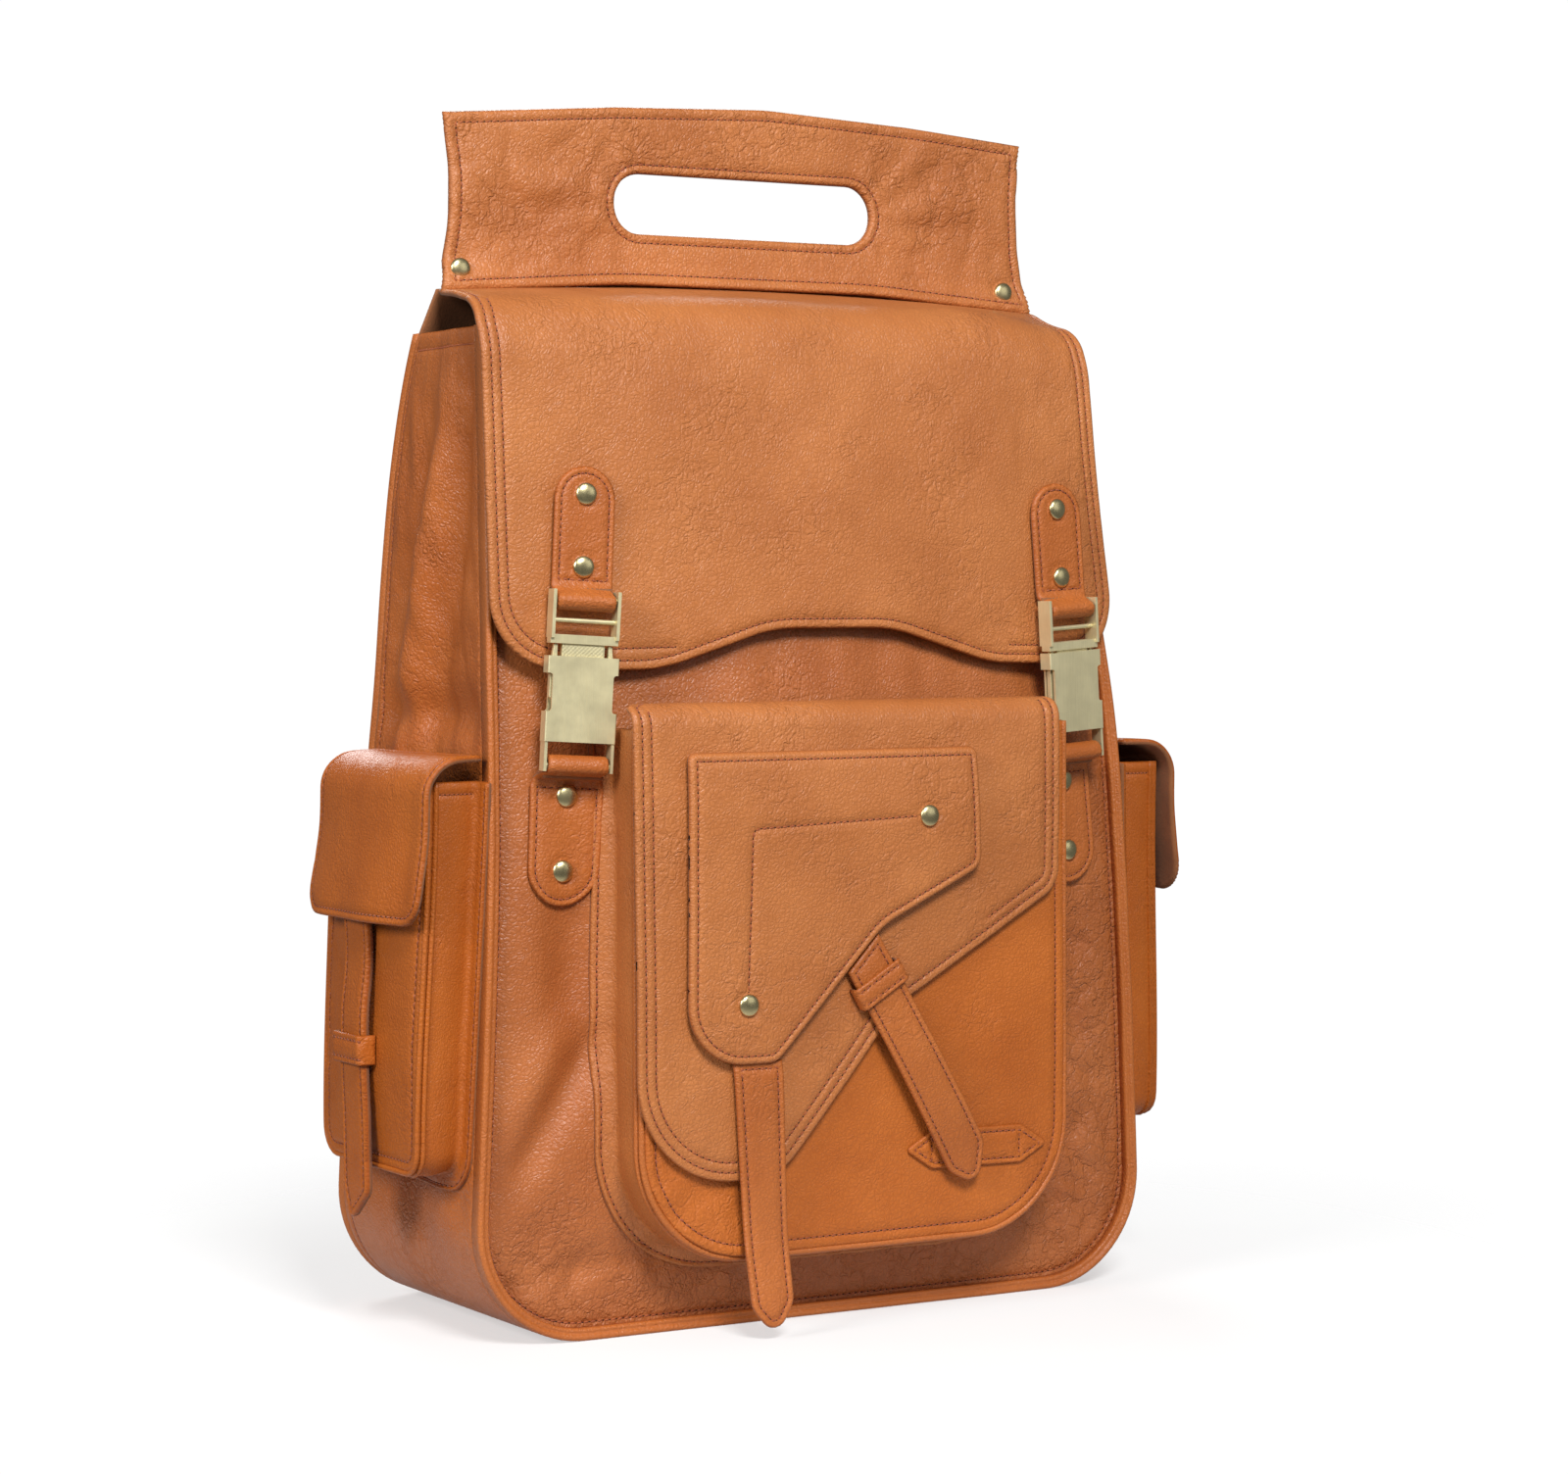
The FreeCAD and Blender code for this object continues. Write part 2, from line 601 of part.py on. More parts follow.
def strap_reach():
    """Radius of the bow, and the angle from its middle to either end."""
    span = strap_frame()[1]
    radius = span * span / (8.0 * STRAP_BOW) + STRAP_BOW / 2.0
    return radius, math.asin(span / 2.0 / radius)


def bow_point(fraction, offset=0.0):
    """Point on the bow's plane at a fraction of its length, 0 at the top."""
    span = strap_frame()[1]
    radius, reach = strap_reach()
    angle = (2.0 * fraction - 1.0) * reach
    out = radius + offset
    return Vector(span / 2.0 + out * math.sin(angle),
                  out * math.cos(angle) - (radius - STRAP_BOW), 0)


def strap_arc(first, last, thickness, width, offset=0.0):
    """Curved strap between two fractions of the bow, 0 at the top, 1 below."""
    low = offset - thickness / 2.0
    fractions = (first, (first + last) / 2.0, last)
    inner = [bow_point(f, low) for f in fractions]
    outer = [bow_point(f, low + thickness) for f in fractions]
    edges = [Part.Arc(*inner).toShape(), Part.makeLine(inner[2], outer[2]),
             Part.Arc(*reversed(outer)).toShape(), Part.makeLine(outer[0], inner[0])]
    face = Part.Face(Part.Wire(edges))
    face.translate(Vector(0, 0, -width / 2.0))
    solid = face.extrude(Vector(0, 0, width))
    solid.Placement = strap_frame()[0].multiply(solid.Placement)
    return solid


def strap_end(fraction, seat_points, thickness, width):
    """Twisting end of a strap, from four points on the back panel to the bow."""
    place = strap_frame()[0]
    section = []
    for offset, side in ((-0.5, -0.5), (-0.5, 0.5), (0.5, 0.5), (0.5, -0.5)):
        point = bow_point(fraction, offset * thickness)
        section.append(place.multVec(point + Vector(0, 0, side * width)))
    wires = [Part.makePolygon(points + points[:1]) for points in (seat_points, section)]
    return Part.makeLoft(wires, True, True)


def seat_on_back(x, z, thickness, width):
    """Corners of a strap's sewn end, flat on the back panel at height z."""
    inner = along(BACK_EDGE, z) + 0.3
    outer = inner + thickness
    return [Vector(x + width / 2.0, inner, z), Vector(x - width / 2.0, inner, z),
            Vector(x - width / 2.0, outer, z), Vector(x + width / 2.0, outer, z)]


def make_adjuster(fraction):
    """Rectangular two-slot slide standing on the outside of the strap tail."""
    half = 0.035
    frame = strap_arc(fraction - half, fraction + half, 2.4, 34.0, 4.2)
    for middle in (fraction - half / 2.0, fraction + half / 2.0):
        slot = strap_arc(middle - 0.0125, middle + 0.0125, 8.0, 27.0, 4.2)
        frame = frame.cut(slot)
    return frame


def make_yoke():
    """Leather patch that the shoulder straps' upper ends are sewn under."""
    low, high = 356.0, 394.0
    profile = [(along(BACK_EDGE, low) + 0.1, low), (along(BACK_EDGE, high) + 0.1, high),
               (along(BACK_EDGE, high) + 2.6, high), (along(BACK_EDGE, low) + 2.6, low)]
    return prism(profile, in_yz, -78.0, 78.0)


def main():
    os.makedirs("parts", exist_ok=True)

    save("front_panel", make_front_panel())
    save("back_panel", make_back_panel())
    strip = make_gusset_strip()
    side = box(-200, -GUSSET_SEAM_X, -150, 150, -10, 500)
    save("side_gusset_left", strip.common(side))
    save("side_gusset_right", strip.common(mirrored(side)))
    save("base_panel", strip.common(box(-GUSSET_SEAM_X, GUSSET_SEAM_X, -150, 150, -10, 50)))
    save("base_board", box(-106, 106, -58, 56, LEATHER + 0.2, LEATHER + 2.6))
    save("lining", make_lining())
    save("front_welt", make_welt(FRONT_EDGE, -1.0))
    save("back_welt", make_welt(BACK_EDGE, 1.0))

    save("pocket_face", make_pocket_face())
    save("pocket_gusset", make_pocket_gusset())
    save("pocket_welt", make_pocket_welt())
    save("pocket_tab", make_pocket_tab())
    save("pocket_flap", make_pocket_flap())
    save("diagonal_keeper", make_diagonal_keeper())
    save("diagonal_strap_root", make_diagonal_root())
    save("diagonal_strap_end", make_diagonal_end())
    save("overlay_flap", make_overlay())
    front = OVERLAY_Y - 0.02
    save("overlay_rivets", Part.makeCompound(
        [rivet_facing(Vector(x, front, z), Vector(0, -1, 0))
         for x, z in ((25.3, 205.3), (-57.9, 133.5))]))
    save("vertical_strap", make_vertical_strap())

    save_pair("side_pocket_face", make_side_face())
    save_pair("side_pocket_gusset", make_side_gusset())
    save_pair("side_pocket_flap", make_side_flap())
    save_pair("side_pocket_strap", make_side_strap())
    save_pair("side_pocket_keeper", make_side_keeper())

    save("flap_top", make_flap_top())
    save("flap_front", make_flap_front())
    save("handle_panel", make_handle())
    save("handle_rivets", make_handle_rivets())

    flap_rivets = []
    body_rivets = []
    for name, sign, draw in (("left", -1.0, LEFT_DRAW), ("right", 1.0, RIGHT_DRAW)):
        save("flap_tab_" + name, seat(make_flap_tab(draw), sign))
        save("body_tab_" + name, seat(make_body_tab(), sign))
        save("buckle_tongue_" + name, seat(make_tongue(draw), sign))
        save("buckle_prong_inner_" + name, seat(make_prong(draw, -sign), sign))
        save("buckle_prong_outer_" + name, seat(make_prong(draw, sign), sign))
        save("buckle_socket_" + name, seat(make_socket(), sign))
        forward = Vector(0, -1, 0)
        for z in (draw + 45.0, draw + 73.7):
            flap_rivets.append(seat(rivet_facing(Vector(0, FLAP_TAB_FRONT - 0.02, z), forward), sign))
        for z in (-38.0, -67.5):
            body_rivets.append(seat(rivet_facing(Vector(0, BODY_TAB_FRONT - 0.02, z), forward), sign))
    save("flap_tab_rivets", Part.makeCompound(flap_rivets))
    save("body_tab_rivets", Part.makeCompound(body_rivets))

    save("strap_yoke", make_yoke())
    top_seat = seat_on_back(STRAP_TOP.x, STRAP_TOP.z, 5.0, 44.0)
    save_pair("shoulder_strap_root", strap_end(0.105, top_seat, 6.0, 44.0))
    save_pair("shoulder_pad", strap_arc(0.117, 0.62, PAD_THICKNESS, PAD_WIDTH))
    save_pair("shoulder_tail", strap_arc(0.625, 0.905, TAIL_THICKNESS, TAIL_WIDTH))
    save_pair("strap_adjuster", make_adjuster(0.68))
    foot_seat = seat_on_back(STRAP_BOTTOM.x, STRAP_BOTTOM.z, TAIL_THICKNESS, TAIL_WIDTH)
    save_pair("strap_anchor", strap_end(0.915, foot_seat, TAIL_THICKNESS, TAIL_WIDTH))


main()
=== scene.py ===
"""Looks of a leather backpack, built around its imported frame.

Lengths below are millimetres in the frame's own axes: +Z up, the front faces -Y.
MM turns them into metres when a mesh is made.
"""
import math

import bpy
import bmesh
import numpy as np
from mathutils import Matrix, Vector, geometry, kdtree, noise


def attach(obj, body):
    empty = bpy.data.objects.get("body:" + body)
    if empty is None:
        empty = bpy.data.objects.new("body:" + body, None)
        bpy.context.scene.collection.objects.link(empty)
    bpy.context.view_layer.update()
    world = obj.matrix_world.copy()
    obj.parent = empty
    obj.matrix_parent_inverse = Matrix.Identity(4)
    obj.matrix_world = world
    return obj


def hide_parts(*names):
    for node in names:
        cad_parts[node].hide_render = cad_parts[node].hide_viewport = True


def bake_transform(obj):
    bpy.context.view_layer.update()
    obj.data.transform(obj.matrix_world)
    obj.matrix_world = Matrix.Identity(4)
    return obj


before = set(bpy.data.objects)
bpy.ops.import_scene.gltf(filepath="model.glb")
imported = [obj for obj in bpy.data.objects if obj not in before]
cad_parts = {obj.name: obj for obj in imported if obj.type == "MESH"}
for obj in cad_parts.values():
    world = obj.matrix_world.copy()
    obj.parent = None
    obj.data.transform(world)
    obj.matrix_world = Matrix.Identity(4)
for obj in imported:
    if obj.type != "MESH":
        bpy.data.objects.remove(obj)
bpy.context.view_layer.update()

MM = 0.001
LEATHER = 2.4
STITCH_PITCH = 3.0
CURVE_STEP = 2.0          # spacing of points along outlines and stitch rows
OPEN = 9.0                # edge distance given to faces with no cut edge near
WELT_EDGE = 1.2           # edge distance given to welts, so that they look rubbed
SIDES = (("left", -1.0), ("right", 1.0))

# ---- the bag's curves, as (height, value) tables ------------------------------
FRONT_EDGE = ((0, -63), (200, -62), (300, -54), (400, -45), (420, -43))
BACK_EDGE = ((0, 61), (57, 61), (241, 42), (400, 8), (418, -2))
FRONT_BULGE = ((0, 0), (60, 12), (150, 18), (200, 18), (300, 14), (400, 8), (420, 8))
HALF_WIDTH = ((0, 158.5), (200, 150), (400, 144), (420, 140.6))
BODY_CORNER = 47.0
SEAM_TOP = 417.2
GUSSET_SEAM_X = 110.0
STRIP_WIDTH = 120.0       # flat width that the gusset strip is drawn at


# ---- small geometry helpers ---------------------------------------------------
def along(table, z):
    """Smooth value of a (height, value) table at heights z."""
    heights, values = np.array(table, float).T
    slopes = np.gradient(values, heights)
    z = np.clip(z, heights[0], heights[-1])
    i = np.clip(np.searchsorted(heights, z, side="right") - 1, 0, len(heights) - 2)
    span = heights[i + 1] - heights[i]
    t = (z - heights[i]) / span
    rise = values[i + 1] - values[i]
    bend_a = slopes[i] * span - rise
    bend_b = rise - slopes[i + 1] * span
    return values[i] + t * rise + t * (1 - t) * ((1 - t) * bend_a + t * bend_b)


def ramp(x, low, high):
    """0 below low, 1 above high, smooth between."""
    t = np.clip((np.asarray(x, float) - low) / (high - low), 0, 1)
    return t * t * (3 - 2 * t)


def bump(x, middle, width):
    """1 at the middle, falling smoothly to 0 on both sides."""
    return np.exp(-((np.asarray(x, float) - middle) / width) ** 2)


def ripple(a, b, size, seed):
    """Smooth noise between -1 and 1, with features of about the given size."""
    a, b = np.broadcast_arrays(np.asarray(a, float), np.asarray(b, float))
    flat = [noise.noise(Vector((x / size, y / size, seed)))
            for x, y in zip(a.ravel(), b.ravel())]
    return np.array(flat).reshape(a.shape)


def creases(a, b, size, seed):
    """0 on open leather, down to -1 along thin wandering lines."""
    return -np.exp(-(ripple(a, b, size, seed) / 0.09) ** 2)


def wrinkled(a, b, seed, soft, fine):
    """Height of soft leather: broad swells and a few thin creases."""
    swell = soft * ripple(a, b, 55.0, seed) + 0.4 * soft * ripple(a, b, 22.0, seed + 7.3)
    lines = creases(a, b, 26.0, seed + 3.1) * ramp(ripple(a, b, 40.0, seed + 5.7), -0.1, 0.35)
    return swell + fine * lines


def rounded(corners, step, closed=True):
    """Points along straight runs through (a, b, radius) corners, turned by arcs."""
    count = len(corners)
    knots = np.array([c[:2] for c in corners], float)
    line = []
    for i, corner in enumerate(corners):
        radius = corner[2] if len(corner) > 2 else 0.0
        if radius <= 0.01 or (not closed and i in (0, count - 1)):
            line.append(knots[i])
            continue
        before = knots[i - 1] - knots[i]
        after = knots[(i + 1) % count] - knots[i]
        before, after = unit(before), unit(after)
        half = math.acos(np.clip(before @ after, -1, 1)) / 2
        if half > math.pi / 2 - 0.01:
            line.append(knots[i])
            continue
        middle = unit(before + after)
        centre = knots[i] + middle * radius / math.sin(half)
        turn = math.pi / 2 - half
        first = knots[i] + before * radius / math.tan(half) - centre
        axis = -middle * radius
        cross = first - axis * (first @ axis) / radius ** 2
        cross = cross / max(np.linalg.norm(cross), 1e-9) * radius
        parts = max(3, int(math.ceil(2 * turn * radius / step)))
        for k in range(parts + 1):
            angle = turn * (1 - 2 * k / parts)
            line.append(centre + axis * math.cos(angle) + cross * math.sin(angle))
    return subdivided(np.array(line), step, closed)


def subdivided(line, step, closed):
    """The same line with points at most about a step apart."""
    if closed:
        line = np.vstack([line, line[:1]])
    points = []
    for a, b in zip(line, line[1:]):
        parts = max(1, int(round(np.linalg.norm(b - a) / step)))
        points.extend(a + (b - a) * k / parts for k in range(parts))
    if not closed:
        points.append(line[-1])
    return np.array(points)


def unit(v):
    return v / np.linalg.norm(v)


def shrunk(corners, inset):
    """Corners moved inwards (to the left of the line's direction) by inset."""
    count = len(corners)
    knots = [np.array(c[:2], float) for c in corners]
    result = []
    for i in range(count):
        into = unit(knots[i] - knots[i - 1])
        away = unit(knots[(i + 1) % count] - knots[i])
        left_in = np.array([-into[1], into[0]])
        left_out = np.array([-away[1], away[0]])
        mitre = (left_in + left_out) / (1 + left_in @ left_out)
        radius = corners[i][2] if len(corners[i]) > 2 else 0.0
        convex = into[0] * away[1] - into[1] * away[0] > 0
        radius = max(radius - inset if convex else radius + inset, 0.0) if radius else 0.0
        moved = knots[i] + mitre * inset
        result.append((moved[0], moved[1], radius))
    return result


def turned(corners):
    """The same corners in anticlockwise order."""
    knots = np.array([c[:2] for c in corners], float)
    following = np.roll(knots, -1, axis=0)
    area = (knots[:, 0] * following[:, 1] - knots[:, 1] * following[:, 0]).sum()
    return list(corners) if area > 0 else list(corners)[::-1]


def box(a0, b0, a1, b1):
    """Corners of a rectangle, anticlockwise."""
    return [(a0, b0), (a1, b0), (a1, b1), (a0, b1)]


def inside(points, polygon):
    """Which points lie inside a polygon: those with an odd number of sides to their right."""
    result = np.zeros(len(points), bool)
    for (ax, ay), (bx, by) in zip(polygon, np.roll(polygon, -1, axis=0)):
        crosses = (ay > points[:, 1]) != (by > points[:, 1])
        if ay != by:
            at = ax + (points[:, 1] - ay) * (bx - ax) / (by - ay)
            result ^= crosses & (points[:, 0] < at)
    return result


def within(points, bounds):
    """Which points lie inside the first outline and outside the others, its holes."""
    keep = inside(points, bounds[0])
    for hole in bounds[1:]:
        keep &= ~inside(points, hole)
    return keep


def nearness(points):
    """A search tree of 2-D points."""
    tree = kdtree.KDTree(len(points))
    for i, point in enumerate(points):
        tree.insert((point[0], point[1], 0.0), i)
    tree.balance()
    return tree


def tube_faces(rings, sides):
    """Faces between rings of points, with a cap at each end."""
    faces = []
    for i in range(rings - 1):
        for k in range(sides):
            a, b = i * sides + k, i * sides + (k + 1) % sides
            faces.append((a, b, b + sides, a + sides))
    faces.append(tuple(range(sides))[::-1])
    faces.append(tuple(range((rings - 1) * sides, rings * sides)))
    return faces


def travelled(points):
    """Length of a line of points up to each of them."""
    steps = np.linalg.norm(np.diff(points, axis=0), axis=1)
    return np.concatenate([[0.0], np.cumsum(steps)])


class Line:
    """A line through 2-D points that is read by its length."""

    def __init__(self, points):
        self.points = np.asarray(points, float)
        self.lengths = travelled(self.points)
        self.length = self.lengths[-1]

    def at(self, s):
        return (np.interp(s, self.lengths, self.points[:, 0]),
                np.interp(s, self.lengths, self.points[:, 1]))

    def normal(self, s, reach):
        """Unit normal to the right of the line's direction."""
        low = np.clip(np.asarray(s, float) - reach, 0, self.length - 0.01)
        high = np.clip(np.asarray(s, float) + reach, 0.01, self.length)
        a0, b0 = self.at(low)
        a1, b1 = self.at(high)
        size = np.hypot(a1 - a0, b1 - b0)
        return (b1 - b0) / size, -(a1 - a0) / size

    def place_of(self, column, value):
        """Length at which one coordinate first takes a value."""
        values = self.points[:, column] - value
        i = int(np.argmax(values[:-1] * values[1:] <= 0))
        share = values[i] / (values[i] - values[i + 1] or 1.0)
        return self.lengths[i] + share * (self.lengths[i + 1] - self.lengths[i])


# ---- mesh building --------------------------------------------------------------
def linked(name, data):
    """A new object in the scene."""
    made = bpy.data.objects.new(name, data)
    bpy.context.scene.collection.objects.link(made)
    return made


def declare(made, nodes, body):
    """Hide the CAD nodes that a visible piece stands for, and hang it on the body it rides on."""
    if nodes:
        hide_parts(*nodes)
    if body:
        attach(made, body)
    return made


def blend(made, first, second, start, end):
    start, end = (tuple(c * MM for c in place) for place in (start, end))
    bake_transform(made)
    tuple(start)
    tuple(end)


class Piece:
    """Faces of one visible piece, each with the number of its finish.

    Each point also has its place on the flat leather (grain), its distance from the
    cut edge (edge) and how creased the leather is there (wear), for the material.
    """

    def __init__(self):
        self.points = []
        self.faces = []
        self.finish = []
        self.grain = []
        self.edge = []
        self.wear = []
        self.count = 0

    def add(self, points, faces, finish=0, grain=None, edge=None, wear=0.5):
        points = np.asarray(points, float)
        self.points.append(points)
        self.faces.extend([tuple(int(i) + self.count for i in face) for face in faces])
        self.finish.extend(np.broadcast_to(finish, len(faces)))
        self.grain.append(points if grain is None else grain)
        self.edge.append(np.full(len(points), OPEN) if edge is None else edge)
        self.wear.append(np.broadcast_to(wear, len(points)))
        self.count += len(points)

    def make(self, name, finishes, body, nodes=(), slot="leather"):
        mesh = bpy.data.meshes.new(name)
        points = np.vstack(self.points) * MM
        mesh.from_pydata(points.tolist(), [], self.faces)
        for finish in finishes:
            mesh.materials.append(finish)
        mesh.polygons.foreach_set("material_index", np.array(self.finish, np.int32))
        grain = mesh.attributes.new("grain", "FLOAT_VECTOR", "POINT")
        grain.data.foreach_set("vector", (np.vstack(self.grain) * MM).ravel())
        for key, values in (("edge", self.edge), ("wear", self.wear)):
            made = mesh.attributes.new(key, "FLOAT", "POINT")
            made.data.foreach_set("value", np.concatenate(values))
        work = bmesh.new()
        work.from_mesh(mesh)
        bmesh.ops.recalc_face_normals(work, faces=work.faces)
        work.to_mesh(mesh)
        work.free()
        mesh.shade_smooth()
        return declare(linked(name, mesh), nodes, body)


class Row:
    """A line on leather that is pressed in, with or without stitches."""

    def __init__(self, corners, closed=True, stitched=True, depth=0.5, reach=1.3):
        self.line = rounded(corners, CURVE_STEP, closed)
        self.closed = closed
        self.stitched = stitched
        self.depth = depth
        self.reach = reach

    def rails(self):
        """Points beside the line, with the share of its depth at each."""
        ends = np.vstack([self.line, self.line[:1]]) if self.closed else self.line
        ahead = np.roll(ends, -1, axis=0)
        behind = np.roll(ends, 1, axis=0)
        ahead[-1] = ends[1] if self.closed else ends[-1]
        behind[0] = ends[-2] if self.closed else ends[0]
        way = ahead - behind
        way /= np.maximum(np.linalg.norm(way, axis=1), 1e-9)[:, None]
        left = np.stack([-way[:, 1], way[:, 0]], axis=1)
        for offset, share in ((0, 1), (0.45, 0.6), (-0.45, 0.6), (1, 0), (-1, 0)):
            yield ends + left * offset * self.reach, share * self.depth


def hem(corners, inset, **options):
    """A closed row that follows an outline, inset from it."""
    return Row(shrunk(turned(corners), inset), **options)


def run(*corners):
    """A stitched row with two ends."""
    return Row(list(corners), closed=False)


FACE, BACK, THREAD, HOLE_SHADE = 0, 1, 2, 3


LATTICE_ROW = 0.866       # height of an even triangle of side 1


def cut_flat(bounds, corners, holes, rows, step, edge):
    """Triangles that fill a cut outline, fine along its edge and its rows.

    Gives the flat points, the triangles, each point's distance from the cut edge, and
    how deep it is pressed in.
    """
    points = []
    away = []                   # distance from the edge, where it is known
    dips = []
    edges = []
    for line in bounds:
        start = len(points)
        points.extend(line)
        edges.extend((start + i, start + (i + 1) % len(line)) for i in range(len(line)))
    away.extend([0.0] * len(points))
    for inset in (0.3 * edge, edge):
        for ring in [shrunk(corners, inset)] + [shrunk(hole, -inset) for hole in holes]:
            line = rounded(ring, CURVE_STEP)
            points.extend(line)
            away.extend([inset] * len(line))
    dips.extend([0.0] * len(points))
    for row in rows:
        for line, dip in row.rails():
            line = line[within(line, bounds)]
            points.extend(line)
            away.extend([None] * len(line))
            dips.extend([dip] * len(line))
    taken = nearness(points)
    low = bounds[0].min(axis=0)
    high = bounds[0].max(axis=0)
    lattice = []
    for j, b in enumerate(np.arange(low[1], high[1], step * LATTICE_ROW)):
        for a in np.arange(low[0] + (j % 2) * step / 2, high[0], step):
            lattice.append((a, b))
    lattice = np.array(lattice).reshape(-1, 2)
    for a, b in lattice[within(lattice, bounds)]:
        if taken.find((a, b, 0.0))[2] > 0.55 * step:
            points.append(np.array([a, b]))
            away.append(None)
            dips.append(0.0)
    flat, _, triangles, sources, _, _ = geometry.delaunay_2d_cdt(
        [Vector(p) for p in points], edges, [], 0, 1e-5)
    flat = np.array([tuple(p) for p in flat])
    triangles = np.array([t for t in triangles if len(t) == 3])
    triangles = triangles[within(flat[triangles].mean(axis=1), bounds)]
    rim = nearness(np.vstack(bounds))
    depth = np.zeros(len(flat))
    dip = np.zeros(len(flat))
    for i, source in enumerate(sources):
        known = [away[k] for k in source if away[k] is not None]
        depth[i] = min(known) if known else rim.find((flat[i][0], flat[i][1], 0.0))[2]
        dip[i] = max([dips[k] for k in source], default=0.0)
    used = np.unique(triangles)
    order = np.full(len(flat), -1)
    order[used] = np.arange(len(used))
    return flat[used], order[triangles], depth[used], dip[used]


def panel(piece, corners, surface, thick=LEATHER, rows=(), holes=(), step=3.0, edge=1.0,
          wear=None):
    """Cut leather: an outer face at height 0 of the surface, and an inner face below it.

    A surface takes arrays a, b (a place on the flat leather) and h (height above its
    outer face), and gives x, y, z. The cut edge is rounded over a width of edge.
    """
    corners = turned(corners)
    holes = [turned(hole) for hole in holes]
    bounds = [rounded(outline, CURVE_STEP) for outline in [corners] + holes]
    flat, triangles, depth, dip = cut_flat(bounds, corners, holes, rows, step, edge)
    count = len(flat)
    fall = 1 - np.sqrt(np.maximum(1 - (1 - np.minimum(depth / edge, 1)) ** 2, 0))
    a, b = flat.T
    outer = np.stack(surface(a, b, -fall * thick / 2 - dip), axis=1)
    own = depth > 0             # the two faces share the points of the cut edge
    inner_of = np.zeros(count, int)
    inner_of[~own] = np.arange(count)[~own]
    inner_of[own] = count + np.arange(own.sum())
    inner = np.stack(surface(a, b, fall * thick / 2 - thick), axis=1)[own]
    grain = np.stack([a, b, np.zeros_like(a)], axis=1)
    under = np.stack([a, b, np.full_like(a, -thick)], axis=1)[own]
    worn = wear(a, b) if wear else np.full(count, 0.5)
    back = inner_of[triangles][:, ::-1]
    piece.add(np.vstack([outer, inner]), np.vstack([triangles, back]),
              [FACE] * len(triangles) + [BACK] * len(back), np.vstack([grain, under]),
              np.concatenate([depth, depth[own]]), np.concatenate([worn, worn[own]]))
    for row in rows:
        if row.stitched:
            stitches(piece, row, surface)


def thread_shape():
    """One stitch: along, across and up from its middle, and its faces."""
    rings = ((-1.0, 0.12, -0.15), (-0.75, 0.34, 0.08), (0.0, 0.42, 0.18),
             (0.75, 0.34, 0.08), (1.0, 0.12, -0.15))
    sides = 6
    points = []
    for reach, radius, lift in rings:
        for k in range(sides):
            angle = 2 * math.pi * k / sides
            points.append((reach, radius * math.cos(angle) + 0.16 * reach,
                           lift + 0.85 * radius * math.sin(angle)))
    return np.array(points), tube_faces(len(rings), sides)


def hole_shape():
    """The pricked hole between two stitches: a shallow dome, painted dark as the shade inside the
    hole.
    """
    middle, sides = STITCH_PITCH / 2, 7
    points = [(middle, 0, 0.24)]
    for k in range(sides):
        angle = 2 * math.pi * k / sides
        points.append((middle + 0.78 * math.cos(angle), 0.74 * math.sin(angle), -0.05))
    faces = [(0, 1 + k, 1 + (k + 1) % sides) for k in range(sides)]
    faces.append(tuple(range(1, sides + 1))[::-1])
    return np.array(points), faces


def stitches(piece, row, surface):
    """Threads along a row, lying in its groove, and between them domes painted dark as the shade of
    the needle holes.
    """
    line = Line(np.vstack([row.line, row.line[:1]]) if row.closed else row.line)
    count = max(1, int(line.length / STITCH_PITCH))
    places = (np.arange(count) + 0.5) * line.length / count
    a, b = line.at(places)
    right_a, right_b = line.normal(places, 1.0)
    way = np.stack([-right_b, right_a], axis=1)
    left = np.stack([-right_a, -right_b], axis=1)
    middle = np.stack([a, b], axis=1)
    for finish, (shape, faces) in ((THREAD, thread_shape()), (HOLE_SHADE, hole_shape())):
        flat = (middle[:, None] + shape[None, :, :1] * way[:, None]
                + shape[None, :, 1:2] * left[:, None])
        up = np.broadcast_to(shape[None, :, 2], flat.shape[:2]) - row.depth
        points = np.stack(surface(flat[..., 0].ravel(), flat[..., 1].ravel(), up.ravel()), axis=1)
        size = len(shape)
        repeated = [tuple(i + k * size for i in face) for k in range(count) for face in faces]
        piece.add(points, repeated, finish)


def sweep(piece, points, across, forward, section):
    """Skin of a closed section carried along a line, as leather with a rubbed edge."""
    section = np.asarray(section, float)
    count, size = len(points), len(section)
    skin = (points[:, None] + across[:, None] * section[None, :, :1]
            + forward[:, None] * section[None, :, 1:2])
    grain = np.stack(np.broadcast_arrays(travelled(points)[:, None],
                                         travelled(section)[None, :], 0.0), axis=-1)
    piece.add(skin.reshape(-1, 3), tube_faces(count, size), FACE, grain.reshape(-1, 3),
              np.full(count * size, WELT_EDGE))


def circle(radius, sides):
    """Section of a round edge."""
    angles = 2 * math.pi * np.arange(sides) / sides
    return np.stack([radius * np.cos(angles), radius * np.sin(angles)], axis=1)


def lathe(piece, centre, axis, profile, sides):
    """Turned shape of (radius, height) points about an axis."""
    axis = unit(axis)
    side = unit(np.cross(axis, (0.0, 0.0, 1.0)))
    third = np.cross(axis, side)
    points = []
    for radius, height in profile:
        for k in range(sides):
            angle = 2 * math.pi * k / sides
            points.append(np.asarray(centre) + axis * height
                          + radius * (side * math.cos(angle) + third * math.sin(angle)))
    piece.add(points, tube_faces(len(profile), sides))


# ---- finishes -------------------------------------------------------------------
def linear(red, green, blue):
    """An sRGB colour, 0 to 255, as linear light with alpha."""
    def one(value):
        value /= 255
        return value / 12.92 if value <= 0.04045 else ((value + 0.055) / 1.055) ** 2.4
    return one(red), one(green), one(blue), 1.0


